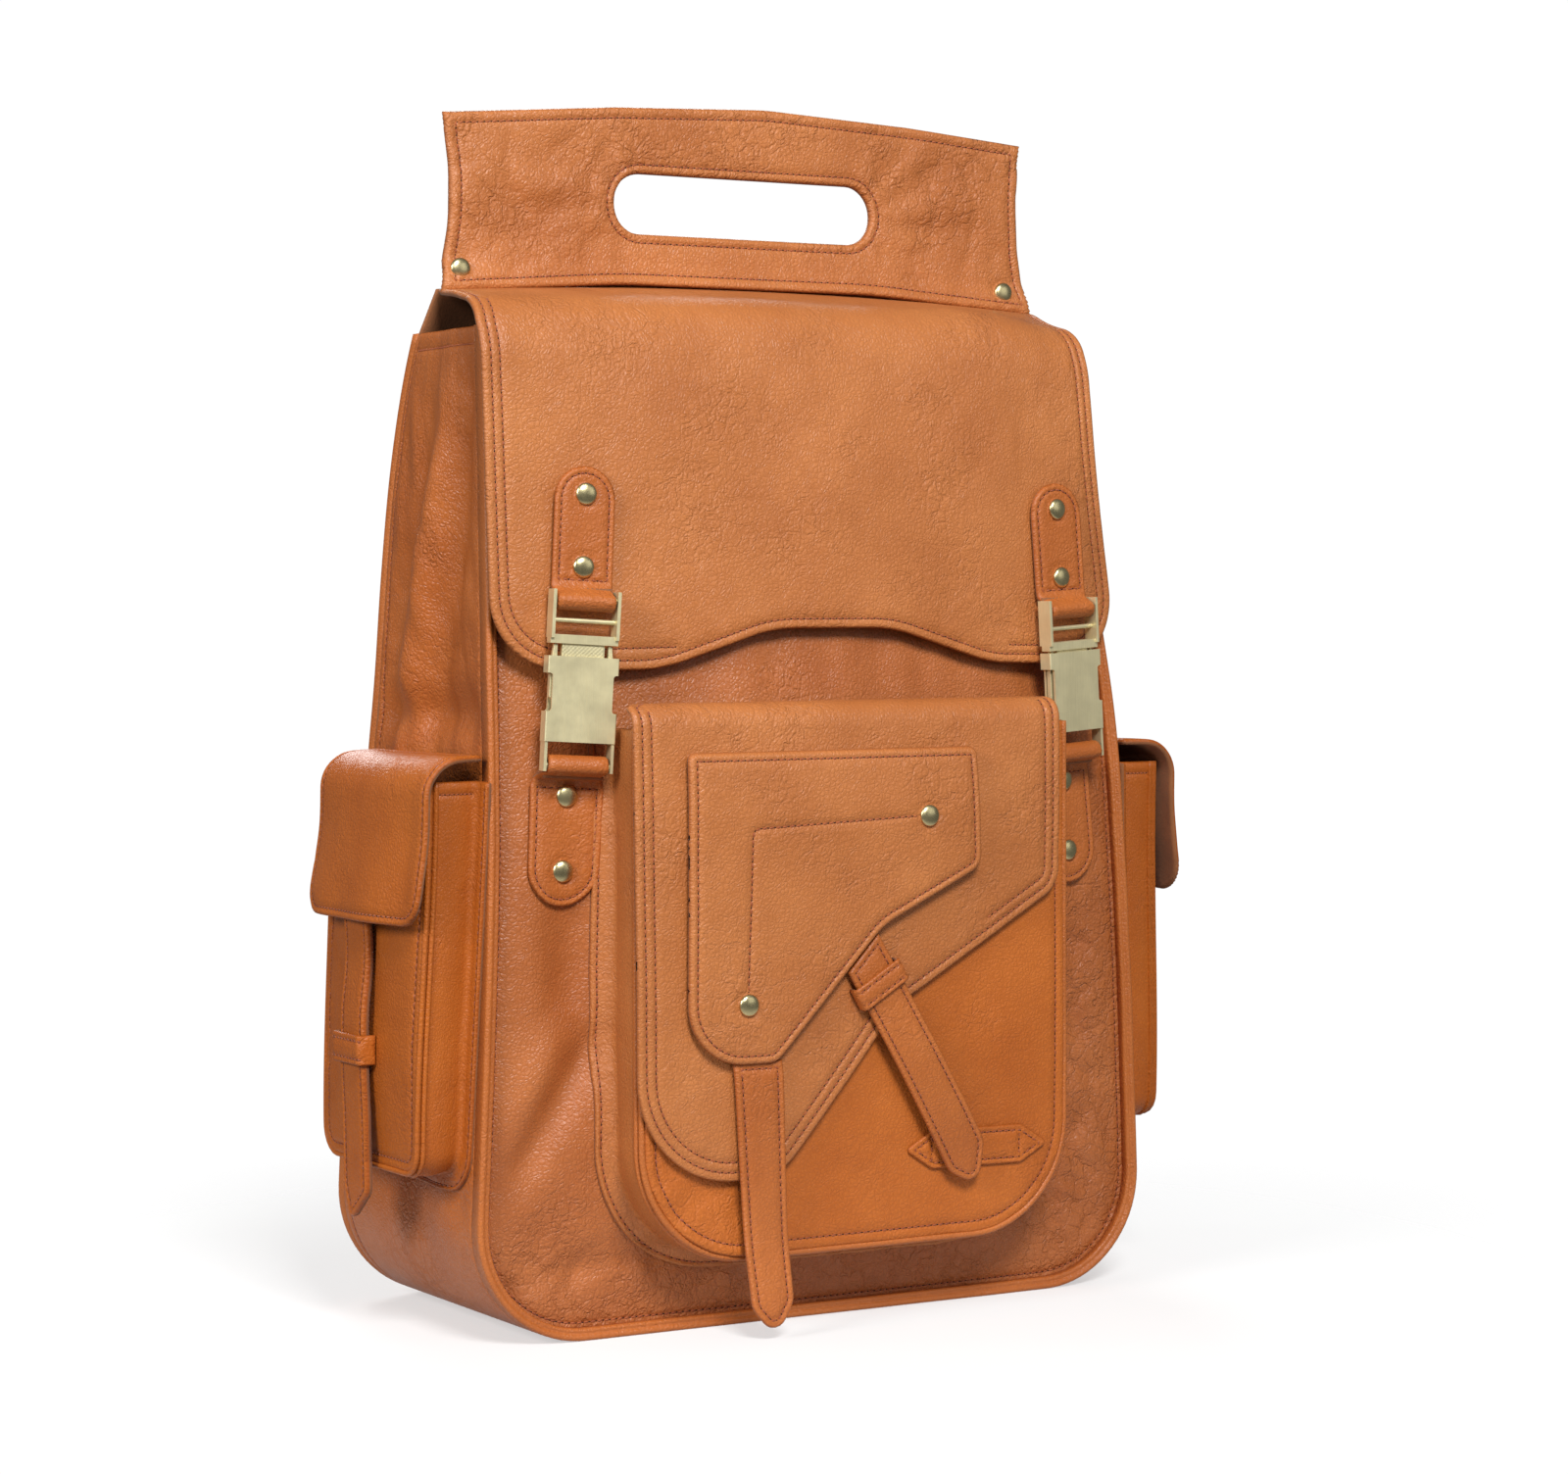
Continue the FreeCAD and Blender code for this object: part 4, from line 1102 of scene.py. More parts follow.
def make_hanging_strap():
    plan = [(-63.5, 111), (-41.5, 111), (-36.5, 15, 9), (-45, 0.8, 6), (-55.5, 13, 9)]

    def surface(x, z, h):
        sway = 0.9 * ripple(z, 0 * z, 45.0, 91.0) * ramp(-z, -105, -60) + 3.0 * ramp(-z, -50, -2)
        return x, STRAP_FRONT - 0.8 - puff(x, z) - sway + 0.8 * ramp(z, 105, 111) - h, z

    strap = make_panel("hanging_strap_leather", plan, surface, None, ["vertical_strap"], SMOOTH,
                       thick=2.4, rows=[hem(plan, 3.0)], step=2.4)
    blend(strap, "overlay", "hanging_strap", (0, STRAP_FRONT, 110.5), (0, STRAP_FRONT, 98))


DIAGONAL_CENTRE = (3.0, 138.4)
DIAGONAL_ANGLE = math.radians(-31.0)


def diagonal(u, w):
    """Front-view place of a point in the slanting strap's own axes, w up along it."""
    turn, lean = math.cos(DIAGONAL_ANGLE), math.sin(DIAGONAL_ANGLE)
    return (DIAGONAL_CENTRE[0] + u * turn + w * lean, DIAGONAL_CENTRE[1] - u * lean + w * turn)


def make_slanting_strap():
    plan = [(-10, 12.2), (-10, -86, 9), (-1.5, -99.5, 6), (10.5, -84, 10), (10, 18.2)]

    def surface(u, w, h):
        x, z = diagonal(u, w)
        drop = 1.4 * ramp(-w, 45, 90) - 0.8 * ripple(w, 0 * w, 30.0, 95.0) * ramp(-w, 15, 50)
        return x, STRAP_FRONT - 0.6 - puff(x, z) + drop - h, z

    strap = make_panel("slanting_strap_leather", plan, surface, None,
                       ["diagonal_strap_end", "diagonal_strap_root"], SMOOTH, thick=2.4,
                       rows=[hem(plan, 2.8)], step=2.4)
    start, end = ((x, STRAP_FRONT, z) for x, z in (diagonal(0, w) for w in (-5.0, -16.0)))
    blend(strap, "front_pocket_flap", "slanting_strap", start, end)

    over = over_strap(-12.2, 12.2, -100.6, -106.0)

    def keeper(s, w, h):
        u, y = over.at(s)
        out_u, out_y = over.normal(s, 0.8)
        x, z = diagonal(u + out_u * h, w)
        return x, y + out_y * h - puff(x, z), z

    rows = [run((5.5, w), (over.length - 5.5, w)) for w in (-2.9, 2.9)]
    make_panel("slanting_strap_keeper", box(0, -5, over.length, 5), keeper,
               "front_pocket_flap", ["diagonal_keeper"], SMOOTH, thick=1.5, rows=rows,
               step=1.6, edge=0.7)


# ---- side pockets ---------------------------------------------------------------
SIDE_FACE = 172.5
SIDE_CORNERS = [(-59, 222), (-53, 69, 9), (33, 69, 11), (33.5, 222)]
SIDE_LINE = Line(rounded(SIDE_CORNERS, 1.5, closed=False))
SIDE_MIDDLE = -10.0
SIDE_HEM = 166.0
KEEPER_Z = 115.0


def side_lean(z):
    """How far the side pocket's lower part stands further out."""
    return 4.0 * ramp(-np.asarray(z, float), -210, -80)


def side_puff(y, z):
    """How far a side pocket's face, and what lies on it, stands out."""
    swell = 3.0 * np.clip(1 - ((y - SIDE_MIDDLE) / 44) ** 2, 0, 1)
    return swell * ramp(z, 70, 120) * ramp(232 - z, 0, 40) + side_lean(z)


def body_side(y, z):
    """Distance of the gusset's outer face from the middle plane at (y, z)."""
    s = BODY.place_of(1, 300.0) + (300.0 - z)
    front = along(FRONT_EDGE, z)
    v = (y - front) / (along(BACK_EDGE, z) - front) * STRIP_WIDTH
    return -strip_skin(s, v, 0.0)[0]


def make_side_pocket(name, sign):
    def face(y, z, h):
        lift = np.minimum(wrinkled(y, z, 101.0 + sign, 0.8, 0.5), 0.3)
        return sign * (SIDE_FACE + side_puff(y, z) + lift + h), y, z

    def place(y, z, out):
        return sign * out, y, z

    make_panel("side_pocket_leather_" + name, SIDE_CORNERS, face, "shell",
               ["side_pocket_face_" + name], SIDE, rows=[hem(SIDE_CORNERS, 4.0)], step=2.8)
    wall = wall_skin(SIDE_LINE, lambda y, z: SIDE_FACE - 1.4 + side_lean(z),
                     lambda y, z: body_side(y, z) + 2.0, 1.0, place)
    length = SIDE_LINE.length
    rows = [run((3, 0.92 * WALL_WIDTH), (length - 3, 0.92 * WALL_WIDTH))]
    rows += [run((s, 3), (s, 0.7 * WALL_WIDTH)) for s in (5, length - 5)]
    piece = Piece()
    panel(piece, box(0, 0, length, WALL_WIDTH), wall, rows=rows, step=2.6)
    pipes(piece, SIDE_LINE, place, 1.0, lambda s, z: side_lean(z), 10,
          ((0.6, SIDE_FACE - 0.9, 1.2), (1.2, SIDE_FACE - 3.3, 1.15)))
    piece.make("side_pocket_gusset_leather_" + name, SIDE, "shell",
               ["side_pocket_gusset_" + name])
    make_side_flap(name, sign)


def make_side_flap(name, sign):
    out = SIDE_FACE + 4.0
    fold = Line(rounded([(-152, 231.5), (-out, 231, 15), (-out - 1.2, SIDE_HEM)], 1.0, False))

    def skin(y, s, h):
        f, z = fold.at(s)
        out_f, out_z = fold.normal(s, 2.0)
        flare = 3.5 * ramp(-z, -205, -SIDE_HEM) * (1 + 0.7 * ripple(y, 0 * y, 40.0, 5.0))
        soft = 0.5 * wrinkled(y, s, 111.0 + sign, 1.0, 0.3) * ramp(s, 0, 20)
        rise = h + side_puff(y, z) + 0.6 + soft
        sink = 1.2 * bump(y, 0, 30) * bump(s, 14, 9)
        return -sign * (f - flare + out_f * (rise - sink)), y, z + out_z * (rise - sink)

    low, high = -67.5, 35.0
    end = fold.place_of(1, SIDE_HEM)
    corners = [(low + 3, 0), (low, 14), (low + 1, end, 13), (high, end, 13), (high, 14),
               (high - 6, 0)]
    leather = make_panel("side_flap_leather_" + name, corners, skin, None,
                         ["side_pocket_flap_" + name], SIDE, thick=2.6,
                         rows=[Row(shrunk(corners, -3.2))], step=2.6)
    blend(leather, "shell", "side_flap_" + name, (sign * 152.5, 0, 231), (sign * 161.0, 0, 231))

    near, far = SIDE_MIDDLE - 11, SIDE_MIDDLE + 11
    root = SIDE_HEM + 18.0          # under the flap, so that no gap opens as it lifts
    plan = [(near, root), (near, 58, 6), (SIDE_MIDDLE + 5.5, 45, 3), (far, 60, 4), (far, root)]

    def strap(y, z, h):
        free = 1 - bump(z, KEEPER_Z, 14)
        wave = 1.0 - 1.6 * bump(z, 150, 18) + 1.2 * ripple(z, 0 * z, 40.0, 121.0)
        x = out + 1.2 + side_puff(y, z) + free * wave
        x = x - 0.8 * ramp(z, SIDE_HEM + 4, root)
        return sign * (x + h), y, z

    make_panel("side_strap_leather_" + name, plan, strap, "side_flap_" + name,
               ["side_pocket_strap_" + name], SIDE, thick=3.4, rows=[hem(plan, 2.8)], step=2.2)

    over = over_strap(near - 2.0, far + 2.0, SIDE_FACE, SIDE_FACE + 7.9)

    def keeper(s, z, h):
        y, x = over.at(s)
        out_y, out_x = over.normal(s, 0.8)
        x = x - out_x * h + side_puff(SIDE_MIDDLE, z)
        return sign * x, y - out_y * h, z

    corners = box(0, KEEPER_Z - 6, over.length, KEEPER_Z + 6)
    rows = [run((6, KEEPER_Z + k), (over.length - 6, KEEPER_Z + k)) for k in (-3.6, 3.6)]
    make_panel("side_keeper_leather_" + name, corners, keeper, "shell",
               ["side_pocket_keeper_" + name], SIDE, thick=1.6, rows=rows, step=1.8, edge=0.7)


# ---- main flap ------------------------------------------------------------------
FLAP_EDGE_Y = -67.0
FLAP_BULGE = ((240, 11), (300, 9.5), (340, 7), (396, 0))
FLAP_REAR = (-5.4, 416.6)
REAR_ARCH = 5.0           # the rear seam stands this much higher in the middle
MAIN_FOLD = Line(rounded([FLAP_REAR, (-59.5, 409.6, 17), (FLAP_EDGE_Y, 392, 30),
                          (FLAP_EDGE_Y, 230)], 1.5, False))


def main_s(z):
    """Length along the main flap, from its rear, at which it hangs down to z."""
    return MAIN_FOLD.place_of(1, z)


def flap_face(x, z):
    """Outer face of the hanging part of the main flap."""
    bulge = along(FLAP_BULGE, z) * ramp(398 - z, 0, 20)
    return FLAP_EDGE_Y - bulge * (1 - np.clip(np.abs(x) / 156, 0, 1) ** 2)


def main_flap_skin(x, s, h):
    """The main flap's leather: s runs from the back seam over the top and down."""
    y, z = MAIN_FOLD.at(s)
    out_y, out_z = MAIN_FOLD.normal(s, 4.0)
    bulge = -(flap_face(x, z) - FLAP_EDGE_Y)
    calm = ramp(s, 0, 25)
    lift = calm * (wrinkled(x, s, 131.0, 0.9, 0.3) + 0.4)
    arch = REAR_ARCH * (1 - (x / 150) ** 2)
    swell = 1.5 * (1 - (x / 152) ** 2) * ramp(s, 20, 50) * ramp(90 - s, 0, 40)
    crown = arch * ramp(60 - s, 0, 60) + swell
    droop = 4.0 * ramp(x, 95, 150) * ramp(s, 10, 50) * ramp(130 - s, 0, 70)
    out = h + bulge + lift
    y, z = y + out_y * out, z + out_z * out + crown - droop
    return slumped(x, y, z), y, z


def make_main_flap():
    low, centre = main_s(264.5), main_s(280.5)
    corners = [(-141, 0), (-151, 48), (-152, 62), (-148.5, low, 30), (-78, low, 70),
               (-28, centre, 70), (28, centre, 70), (78, low - 1, 70), (148.5, low, 30),
               (147, 62), (146, 48), (141, 0)]
    inner = shrunk(corners, -7.6)
    rows = [Row(shrunk(corners, -3.8)), run(*inner[1:4], (-72, low - 9.0)),
            run(*inner[::-1][1:4], (88, low - 8.5))]
    flap = make_panel("main_flap_leather", corners, main_flap_skin, None,
                      ["flap_top", "flap_front"], LEATHERS, thick=2.6, rows=rows, step=3.2)
    blend(flap, "main_flap_top", "main_flap_front", (0, -46, 411), (0, -67, 400))


# ---- buckles and their tabs -----------------------------------------------------
WELD = 2e-6               # metres between points of the CAD mesh that are taken as one
FLAT_ANGLE = math.radians(2)
SHARP_ANGLE = math.radians(35)
BUCKLE_CENTRE = (116.0, -78.2, 253.5)
BUCKLE_TILT = math.radians(3.5)
BUCKLE_TURN = math.radians(9.0)
DRAW = {"left": 4.5, "right": 0.5}        # how far each tongue stands out of its socket
TONGUE_BAR_Z = 34.2
SOCKET_BAR_Z = -26.2
LOOP_RADIUS = 4.4
KNURL_PITCH = 0.84


def seat(x, y, z, sign):
    """From a buckle's own axes to the bag's."""
    tilt, turn = -BUCKLE_TILT * sign, BUCKLE_TURN * sign
    x, z = x * math.cos(tilt) + z * math.sin(tilt), z * math.cos(tilt) - x * math.sin(tilt)
    x, y = x * math.cos(turn) - y * math.sin(turn), x * math.sin(turn) + y * math.cos(turn)
    return x + sign * BUCKLE_CENTRE[0], y + BUCKLE_CENTRE[1], z + BUCKLE_CENTRE[2]


def tab_skin(line, sign, ground, flat_from, flat_to):
    """A tab lying on the leather called ground, that leaves it to wrap round a bar."""
    def surface(u, s, h):
        y, z = line.at(s)
        out_y, out_z = line.normal(s, 1.2)
        place = seat(u, y + out_y * h, z + out_z * h, sign)
        base = seat(u, y, z, sign)
        lying = ramp((s - flat_from) / (flat_to - flat_from), 0, 1)
        resting = ground(base[0], base[2]) - 2.9
        return place[0], place[1] + lying * (resting - base[1]), place[2]
    return surface


def make_tab(name, skin, body, node, plan, inner, rivets, caps):
    """A tab stitched along inner, with its rivets put into the piece caps."""
    rows = [Row(inner)] + [dimple(0.0, s) for s in rivets]
    make_panel(name, plan, skin, body, [node], SMOOTH, thick=2.4, rows=rows, step=2.0)
    for s in rivets:
        rivet(caps, skin, 0.0, s)


def make_tabs():
    r = LOOP_RADIUS
    flap_caps, body_caps = Piece(), Piece()
    for name, sign in SIDES:
        draw = DRAW[name]
        bar = draw + TONGUE_BAR_Z
        line = Line(rounded([(2.6, draw + 86.5), (2.6, bar + 6.0, 3.5), (-r, bar + 1.0, 3),
                             (-r, bar - r, r - 0.1), (r, bar - r, r - 0.1), (r, bar + 5)],
                            0.8, False))
        skin = tab_skin(line, sign, lambda x, z: flap_face(x, z) - 0.9, 54.0, 45.0)
        end, last = line.length, 47.0
        plan = [(-13, 0, 12.9), (-13, last), (-12.1, last + 2), (-12.1, end), (12.1, end),
                (12.1, last + 2), (13, last), (13, 0, 12.9)]
        inner = [(-10.2, 2.8, 10), (-10.2, last - 2.5), (10.2, last - 2.5), (10.2, 2.8, 10)]
        make_tab("flap_tab_leather_" + name, skin, "main_flap_front", "flap_tab_" + name,
                 plan, inner, (10.8, 39.4), flap_caps)

        bar = SOCKET_BAR_Z
        line = Line(rounded([(r, bar - 5), (r, bar + r, r - 0.1), (-r, bar + r, r - 0.1),
                             (-r, bar - 2.4, 2.5), (4.9, bar - 6.6, 3), (4.9, -81.5)],
                            0.8, False))
        skin = tab_skin(line, sign, front_y, 20.0, 32.0)
        end = line.length
        first = end - 49.0
        plan = [(-12.4, 0), (-12.4, first - 5, 3), (-15, first + 2, 3), (-15, end, 14.9),
                (15, end, 14.9), (15, first + 2, 3), (12.4, first - 5, 3), (12.4, 0)]
        inner = [(-12.2, first + 2.5), (-12.2, end - 2.8, 12), (12.2, end - 2.8, 12),
                 (12.2, first + 2.5)]
        make_tab("body_tab_leather_" + name, skin, "shell", "body_tab_" + name, plan, inner,
                 (end - 43.5, end - 14.0), body_caps)
    flap_caps.make("flap_tab_rivet_caps", [rivet_brass], "main_flap_front",
                   ["flap_tab_rivets"], "brass")
    body_caps.make("body_tab_rivet_caps", [rivet_brass], "shell", ["body_tab_rivets"], "brass")


def softened(node, body, width):
    """The CAD node's own shape in brass, with its sharp edges broken."""
    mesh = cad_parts[node].data.copy()
    mesh.materials.clear()
    mesh.materials.append(brass)
    work = bmesh.new()
    work.from_mesh(mesh)
    bmesh.ops.remove_doubles(work, verts=work.verts, dist=WELD)
    bmesh.ops.dissolve_limit(work, angle_limit=FLAT_ANGLE, verts=work.verts, edges=work.edges)
    sharp = [e for e in work.edges if len(e.link_faces) == 2 and e.calc_face_angle(0) > 0.6]
    bmesh.ops.bevel(work, geom=sharp, offset=width * MM, segments=2, profile=0.6, affect="EDGES",
                    clamp_overlap=True)
    bmesh.ops.recalc_face_normals(work, faces=work.faces)
    work.to_mesh(mesh)
    work.free()
    mesh.shade_smooth()
    mesh.set_sharp_from_angle(angle=SHARP_ANGLE)
    made = linked(node + "_brass", mesh)
    flats = made.modifiers.new("flats", "WEIGHTED_NORMAL")
    flats.keep_sharp = True
    declare(made, [node], body)


def make_knurl(name, sign):
    """Diamond knurling on the front of a buckle's tongue."""
    low, high, half = 12.0, DRAW[name] + 16.9, 8.6
    u = np.arange(-half, half + 0.01, KNURL_PITCH / 2)
    w = np.arange(low, high, KNURL_PITCH / 2)
    columns, rows = len(u), len(w)
    u, w = (part.ravel() for part in np.meshgrid(u, w))
    peak = 0.5 + 0.25 * (np.cos((u + w) * math.pi / KNURL_PITCH)
                         + np.cos((u - w) * math.pi / KNURL_PITCH))
    points = seat(u, -1.34 - 0.28 * peak, w, sign)
    back = seat(np.array([-half, half, half, -half]), np.full(4, -1.0),
                np.array([low, low, w[-1], w[-1]]), sign)
    total = len(u)
    at = np.arange(total).reshape(rows, columns)
    quads = np.stack([at[:-1, :-1], at[:-1, 1:], at[1:, 1:], at[1:, :-1]], axis=-1)
    faces = [tuple(quad) for quad in quads.reshape(-1, 4)]
    ring = (at[0], at[:, -1], at[-1, ::-1], at[::-1, 0])
    for k, side in enumerate(ring):
        faces.append((*side[::-1], total + k, total + (k + 1) % 4))
    faces.append((total, total + 3, total + 2, total + 1))
    piece = Piece()
    piece.add(np.hstack([points, back]).T, faces)
    knurl = piece.make("knurled_plate_" + name, [brass], "tongue_" + name, slot="brass")
    knurl.data.set_sharp_from_angle(angle=math.radians(60))


def make_buckles():
    for name, sign in SIDES:
        softened("buckle_socket_" + name, "socket_" + name, 0.35)
        softened("buckle_tongue_" + name, "tongue_" + name, 0.25)
        for prong in ("inner", "outer"):
            softened(f"buckle_prong_{prong}_{name}", f"prong_{prong}_{name}", 0.2)
        make_knurl(name, sign)


# ---- handle ---------------------------------------------------------------------
HANDLE_FRONT = -7.2
HANDLE_RIVETS = (-133.0, 127.5)
HANDLE_RIVET_Z = 425.2
HANDLE_THICK = 4.6
GRIP_END = (60.0, 455.0)          # middle of the slot's round end: creases run out from it


def make_handle():
    outline = [(-141.8, 415.2), (-136.2, 444, 60), (-135.8, 466, 60), (-138.5, 488),
               (-60, 494.5, 120), (10, 497.6, 120), (80, 494.6, 120), (138.5, 489.8),
               (136.0, 464, 60), (136.5, 444, 60), (141.8, 415.2), (60, 421.6, 300),
               (-60, 421.6, 300)]
    slot = [(-62, 443, 12), (62, 443, 12), (62, 467.5, 12), (-62, 467.5, 12)]

    def surface(x, z, h):
        crumple = 2.0 * bump(z, 460, 26) * ramp(np.abs(x), 40, 75)
        beyond, above = np.abs(x) - GRIP_END[0], z - GRIP_END[1]
        turn, reach = np.arctan2(above, beyond), np.hypot(above, beyond)
        rays = np.sin(9 * turn + 3 * ripple(x, z, 30.0, 155.0)) * bump(reach, 38, 24)
        lift = wrinkled(x, z, 151.0, 0.6, 0.5) + crumple * (
            0.4 * ripple(x, z * 0.7, 17.0, 157.0) + 0.4 * creases(x, z * 0.6, 22.0, 159.0)
            + 0.5 * rays)
        rope = 0.9 * bump(z, 431, 6) * ramp(141 - np.abs(x), 8, 22)
        level = ramp(h, -HANDLE_THICK, 0)           # 1 on the front, 0 on the back
        sway = 1.2 * ripple(x, z, 120.0, 163.0) * ramp(z, 425, 460)
        lap = 4.0 * ramp(-z, -431, -419)            # the hem lies over the flap's rear
        return x, HANDLE_FRONT - level * (lift + rope) - h + sway - lap, z

    rows = [hem(outline, 4.6), hem(slot, -3.8)]
    rows += [dimple(x, HANDLE_RIVET_Z) for x in HANDLE_RIVETS]
    leather = make_panel("handle_leather", outline, surface, None, ["handle_panel"],
                         (creased_tan, creased_tan, thread, needle_hole_shade),
                         thick=HANDLE_THICK, rows=rows, holes=[slot], step=2.4, edge=1.6,
                         wear=lambda x, z: 0.3 + 0.35 * ramp(z, 436, 446))
    blend(leather, "shell", "handle", (0, HANDLE_FRONT, 417.5), (0, HANDLE_FRONT, 425.0))
    piece = Piece()
    for x in HANDLE_RIVETS:
        rivet(piece, surface, x, HANDLE_RIVET_Z)
    piece.make("handle_rivet_caps", [rivet_brass], "handle", ["handle_rivets"], "brass")


# ---- shoulder straps ------------------------------------------------------------
STRAP_TOP = np.array([48.0, 25.0, 350.0])
STRAP_BOTTOM = np.array([120.0, 67.0, 30.0])
STRAP_BOW = 62.0
STRAP_BOW_ANGLE = math.radians(12)
SEWN_UNTIL, SEWN_FROM = 0.105, 0.915      # shares of a strap that bend to lie on the back


def strap_frame(f, sign):
    """Middle, outward and sideways directions of a shoulder strap at share f of its length."""
    top, bottom = (p * (sign, 1, 1) for p in (STRAP_TOP, STRAP_BOTTOM))
    span = np.linalg.norm(bottom - top)
    down = (bottom - top) / span
    bow = np.array([sign * math.sin(STRAP_BOW_ANGLE), math.cos(STRAP_BOW_ANGLE), 0])
    bow = unit(bow - down * (bow @ down))
    radius = span ** 2 / (8 * STRAP_BOW) + STRAP_BOW / 2
    reach = math.asin(span / 2 / radius)
    angle = (2 * np.asarray(f, float) - 1) * reach
    middle = (top + down * span / 2 + bow * (STRAP_BOW - radius)
              + radius * (np.sin(angle)[..., None] * down + np.cos(angle)[..., None] * bow))
    outward = np.sin(angle)[..., None] * down + np.cos(angle)[..., None] * bow
    sideways = np.broadcast_to(np.cross(down, bow), outward.shape)
    flat = (ramp(SEWN_UNTIL - f, 0, SEWN_UNTIL) + ramp(f, SEWN_FROM, 1.0))[..., None]
    away = unit(np.array([0.0, 1.0, 0.2]))
    outward = outward * (1 - flat) + flat * away
    sideways = sideways * (1 - flat) + flat * np.array([1.0, 0.0, 0.0])
    outward, sideways = (v / np.linalg.norm(v, axis=-1, keepdims=True)
                         for v in (outward, sideways))
    return middle, outward, sideways, 2 * reach * radius


def make_shoulder_strap(name, sign):
    length = float(strap_frame(0.5, sign)[3])

    def surface(a, b, h, lift=0.0):
        middle, outward, sideways, _ = strap_frame(b / length, sign)
        place = middle + outward * (h + lift)[..., None] + sideways * a[..., None]
        return tuple(place.T)

    def padded(a, b, h):
        return surface(a, b, h, 4.5 + 0.5 * ripple(a, b, 30.0, 171.0))

    first, last = 0.012 * length, 0.62 * length
    plan = [(-22, first), (-22, 0.10 * length, 30), (-25, 0.16 * length, 60), (-25, last, 9),
            (25, last, 9), (25, 0.16 * length, 60), (22, 0.10 * length, 30), (22, first)]
    rows = [hem(plan, 5.0, depth=1.2, reach=2.2)]
    piece = Piece()
    panel(piece, plan, padded, 8.6, rows=rows, step=4.0, edge=4.2)
    pad = piece.make("shoulder_strap_pad_" + name, (tan, tan, thread, needle_hole_shade), None,
                     ["shoulder_pad_" + name, "shoulder_strap_root_" + name])
    blend(pad, "shell", "shoulder_strap_" + name,
          *(strap_frame(f, sign)[0] for f in (0.03, 0.14)))

    def tail(a, b, h):
        return surface(a, b, h, 1.5)

    piece = Piece()
    first = 0.605 * length
    plan = [(-12.5, first), (-12.5, 0.998 * length), (12.5, 0.998 * length), (12.5, first)]
    panel(piece, plan, tail, 2.8, rows=[hem(plan, 2.8)], step=3.0)
    strap = piece.make("shoulder_strap_tail_" + name, SMOOTH, None,
                       ["shoulder_tail_" + name, "strap_anchor_" + name])
    blend(strap, "shoulder_strap_" + name, "shell",
          *(strap_frame(f, sign)[0] for f in (0.86, 0.97)))
    softened("strap_adjuster_" + name, "shoulder_strap_" + name, 0.4)


def make_yoke():
    """The patch that the shoulder straps are sewn under."""
    low, high = 342.0, 396.0
    plan = [(-80, low, 6), (80, low, 6), (78, high, 6), (-78, high, 6)]

    def surface(x, z, h):
        over = 7.5 * ramp(-z, -368, -350) * bump(np.abs(x), 49, 27)     # over the roots
        return back_skin(x, z, h + 3.2 + over)

    make_panel("strap_yoke_leather", plan, surface, "shell", ["strap_yoke"], SMOOTH,
               rows=[hem(plan, 3.2), hem(plan, 7.0)], step=3.0)


# ---- stage, in metres -------------------------------------------------------------
# softboxes: place, size, watts
LAMPS = (((-0.45, -1.6, 1.5), 0.6, 40.0), ((-2.0, -0.7, 1.1), 0.7, 25.0),
         ((-1.9, 0.8, 1.0), 0.35, 3.0), ((1.1, -1.9, 0.9), 1.2, 4.0),
         ((0.6, 2.0, 1.4), 1.2, 24.0))


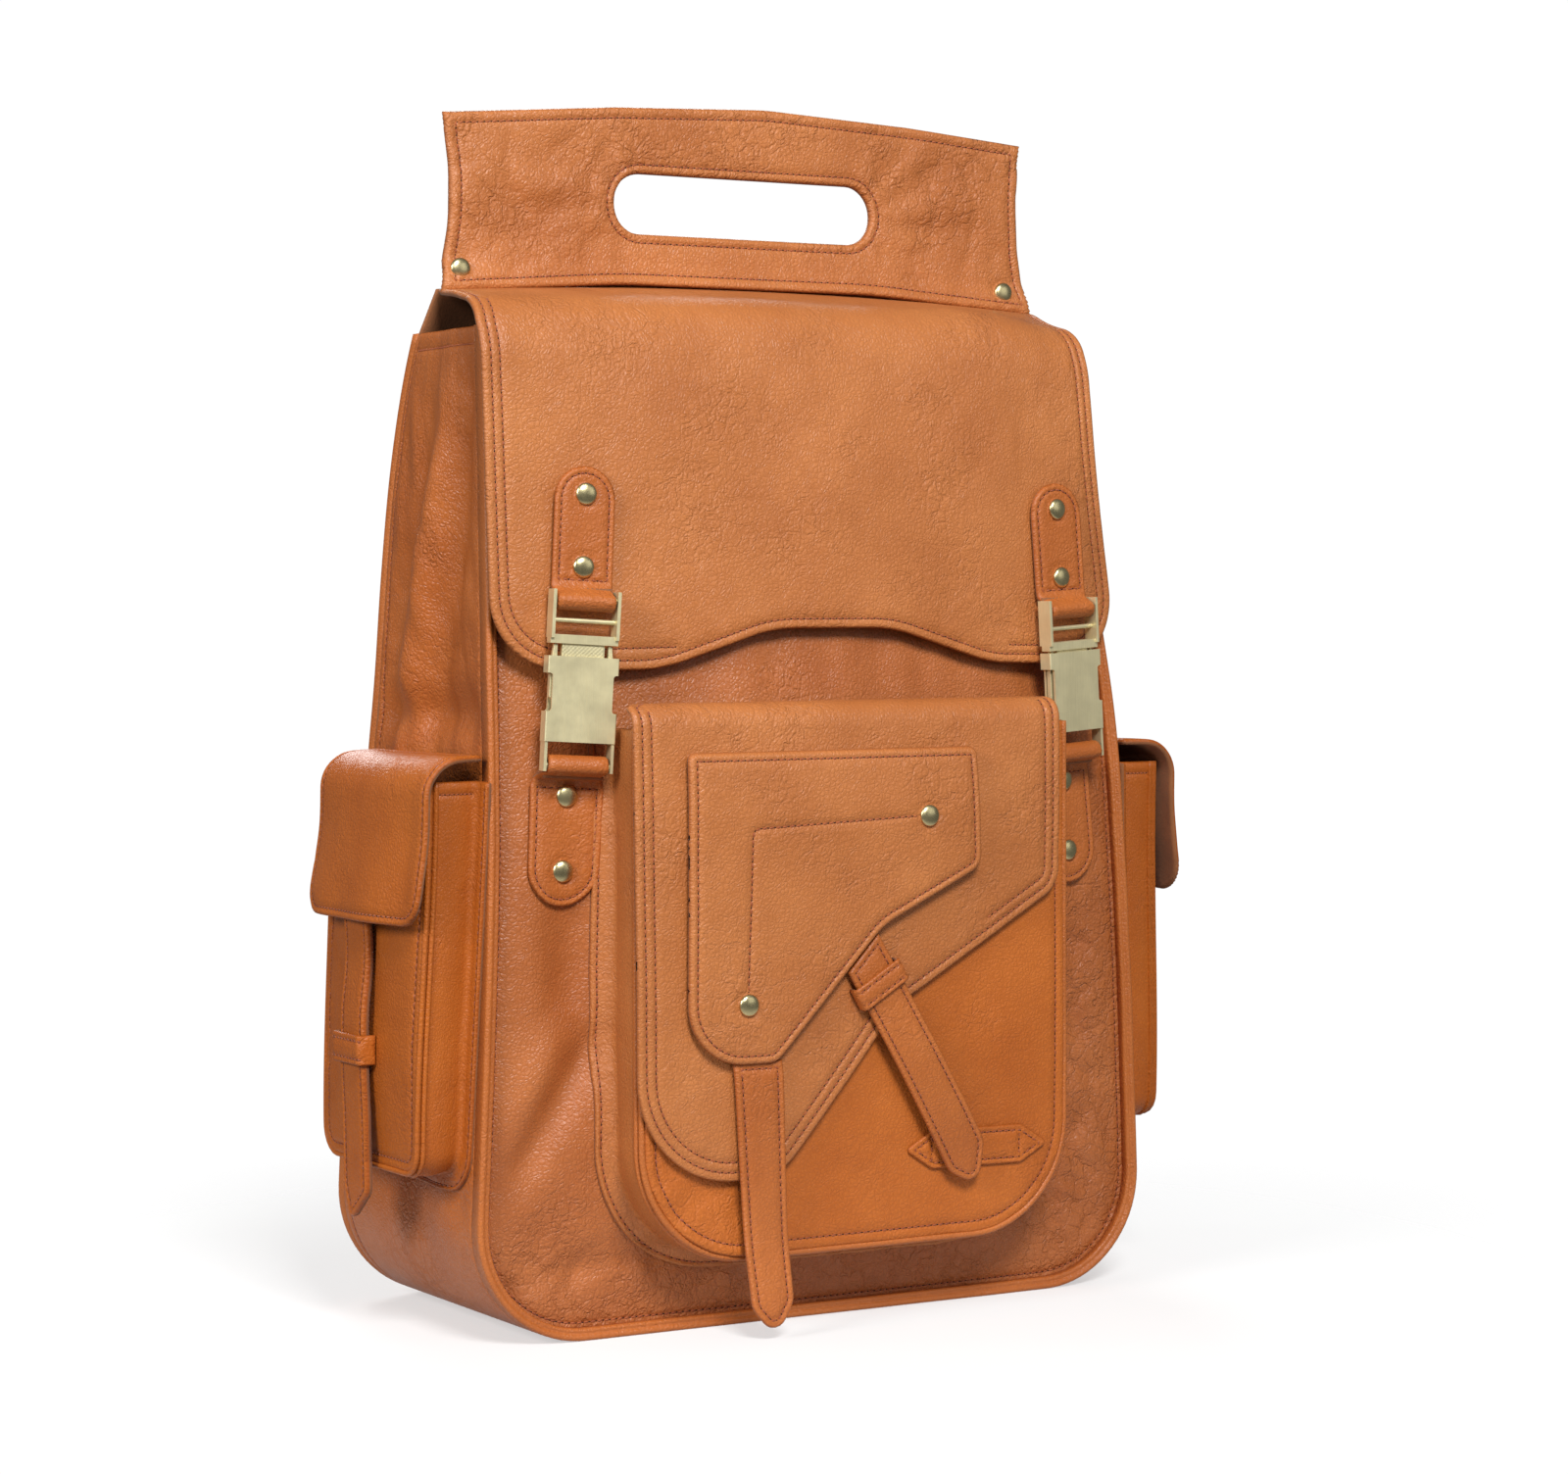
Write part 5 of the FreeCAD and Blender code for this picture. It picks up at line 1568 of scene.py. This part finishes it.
def make_stage():
    bpy.ops.mesh.primitive_circle_add(radius=1.2, fill_type="NGON", vertices=96)
    floor = bpy.context.object
    floor.name = "floor"
    f = Finish("pale_floor")
    where = f.node("TexCoord").outputs["Object"]
    soft = f.noise(where, 3.0, 3.0)
    reach = f.node("VectorMath", {0: where}, operation="LENGTH").outputs["Value"]
    f.set(Base_Color=f.mix(soft, (0.86, 0.86, 0.86, 1), (0.90, 0.90, 0.90, 1)),
          Roughness=f.span(soft, 0, 1, 0.75, 0.85), Emission_Color=(1, 1, 1, 1),
          Emission_Strength=0.12, Alpha=f.span(reach, 0.20, 0.50, 0.55, 0.0))
    floor.data.materials.append(f.material)
    world = bpy.data.worlds.new("studio")
    bpy.context.scene.world = world
    world.use_nodes = True
    tree = world.node_tree
    fill = tree.nodes["Background"]
    seen = tree.nodes.new("ShaderNodeBackground")
    for node, strength in ((fill, 0.15), (seen, 1.02)):
        node.inputs["Color"].default_value = (1, 1, 1, 1)
        node.inputs["Strength"].default_value = strength
    path = tree.nodes.new("ShaderNodeLightPath")
    both = tree.nodes.new("ShaderNodeMixShader")
    tree.links.new(path.outputs["Is Camera Ray"], both.inputs[0])
    tree.links.new(fill.outputs[0], both.inputs[1])
    tree.links.new(seen.outputs[0], both.inputs[2])
    tree.links.new(both.outputs[0], tree.nodes["World Output"].inputs["Surface"])
    for place, size, power in LAMPS:
        light = bpy.data.lights.new("softbox", "AREA")
        light.shape = "SQUARE"
        light.size = size
        light.energy = power
        lamp = linked("softbox", light)
        lamp.location = place
        aim = Vector((0.0, 0.0, 0.25)) - Vector(place)
        lamp.rotation_euler = aim.to_track_quat("-Z", "Y").to_euler()


def make_camera():
    azimuth, elevation, roll = (math.radians(a) for a in (-30.295, 1.99, -0.226))
    distance, target = 1.5524, Vector((-0.01512, -0.063, 0.23632))
    back = Vector((math.sin(azimuth) * math.cos(elevation),
                   -math.cos(azimuth) * math.cos(elevation), math.sin(elevation)))
    data = bpy.data.cameras.new("camera")
    data.lens = 87.79
    data.sensor_width = 36.0
    camera = linked("camera", data)
    camera.location = target + back * distance
    turn = (-back).to_track_quat("-Z", "Y").to_matrix().to_4x4()
    camera.rotation_euler = (turn @ Matrix.Rotation(roll, 4, "Z")).to_euler()
    bpy.context.scene.camera = camera


def finish_board():
    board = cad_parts["base_board"]
    board.data.materials.clear()
    board.data.materials.append(board_finish())


make_stage()
make_camera()
make_body()
make_lining()
make_welt("front_seam_welt", FRONT_EDGE, -1.0, "front_welt")
make_welt("back_seam_welt", BACK_EDGE, 1.0, "back_welt")
make_front_pocket()
make_pocket_flap()
make_hanging_strap()
make_slanting_strap()
for side_name, side_sign in SIDES:
    make_side_pocket(side_name, side_sign)
    make_shoulder_strap(side_name, side_sign)
make_main_flap()
make_tabs()
make_buckles()
make_handle()
make_yoke()
finish_board()
bpy.context.scene.view_settings.view_transform = "Standard"

bpy.context.view_layer.update()
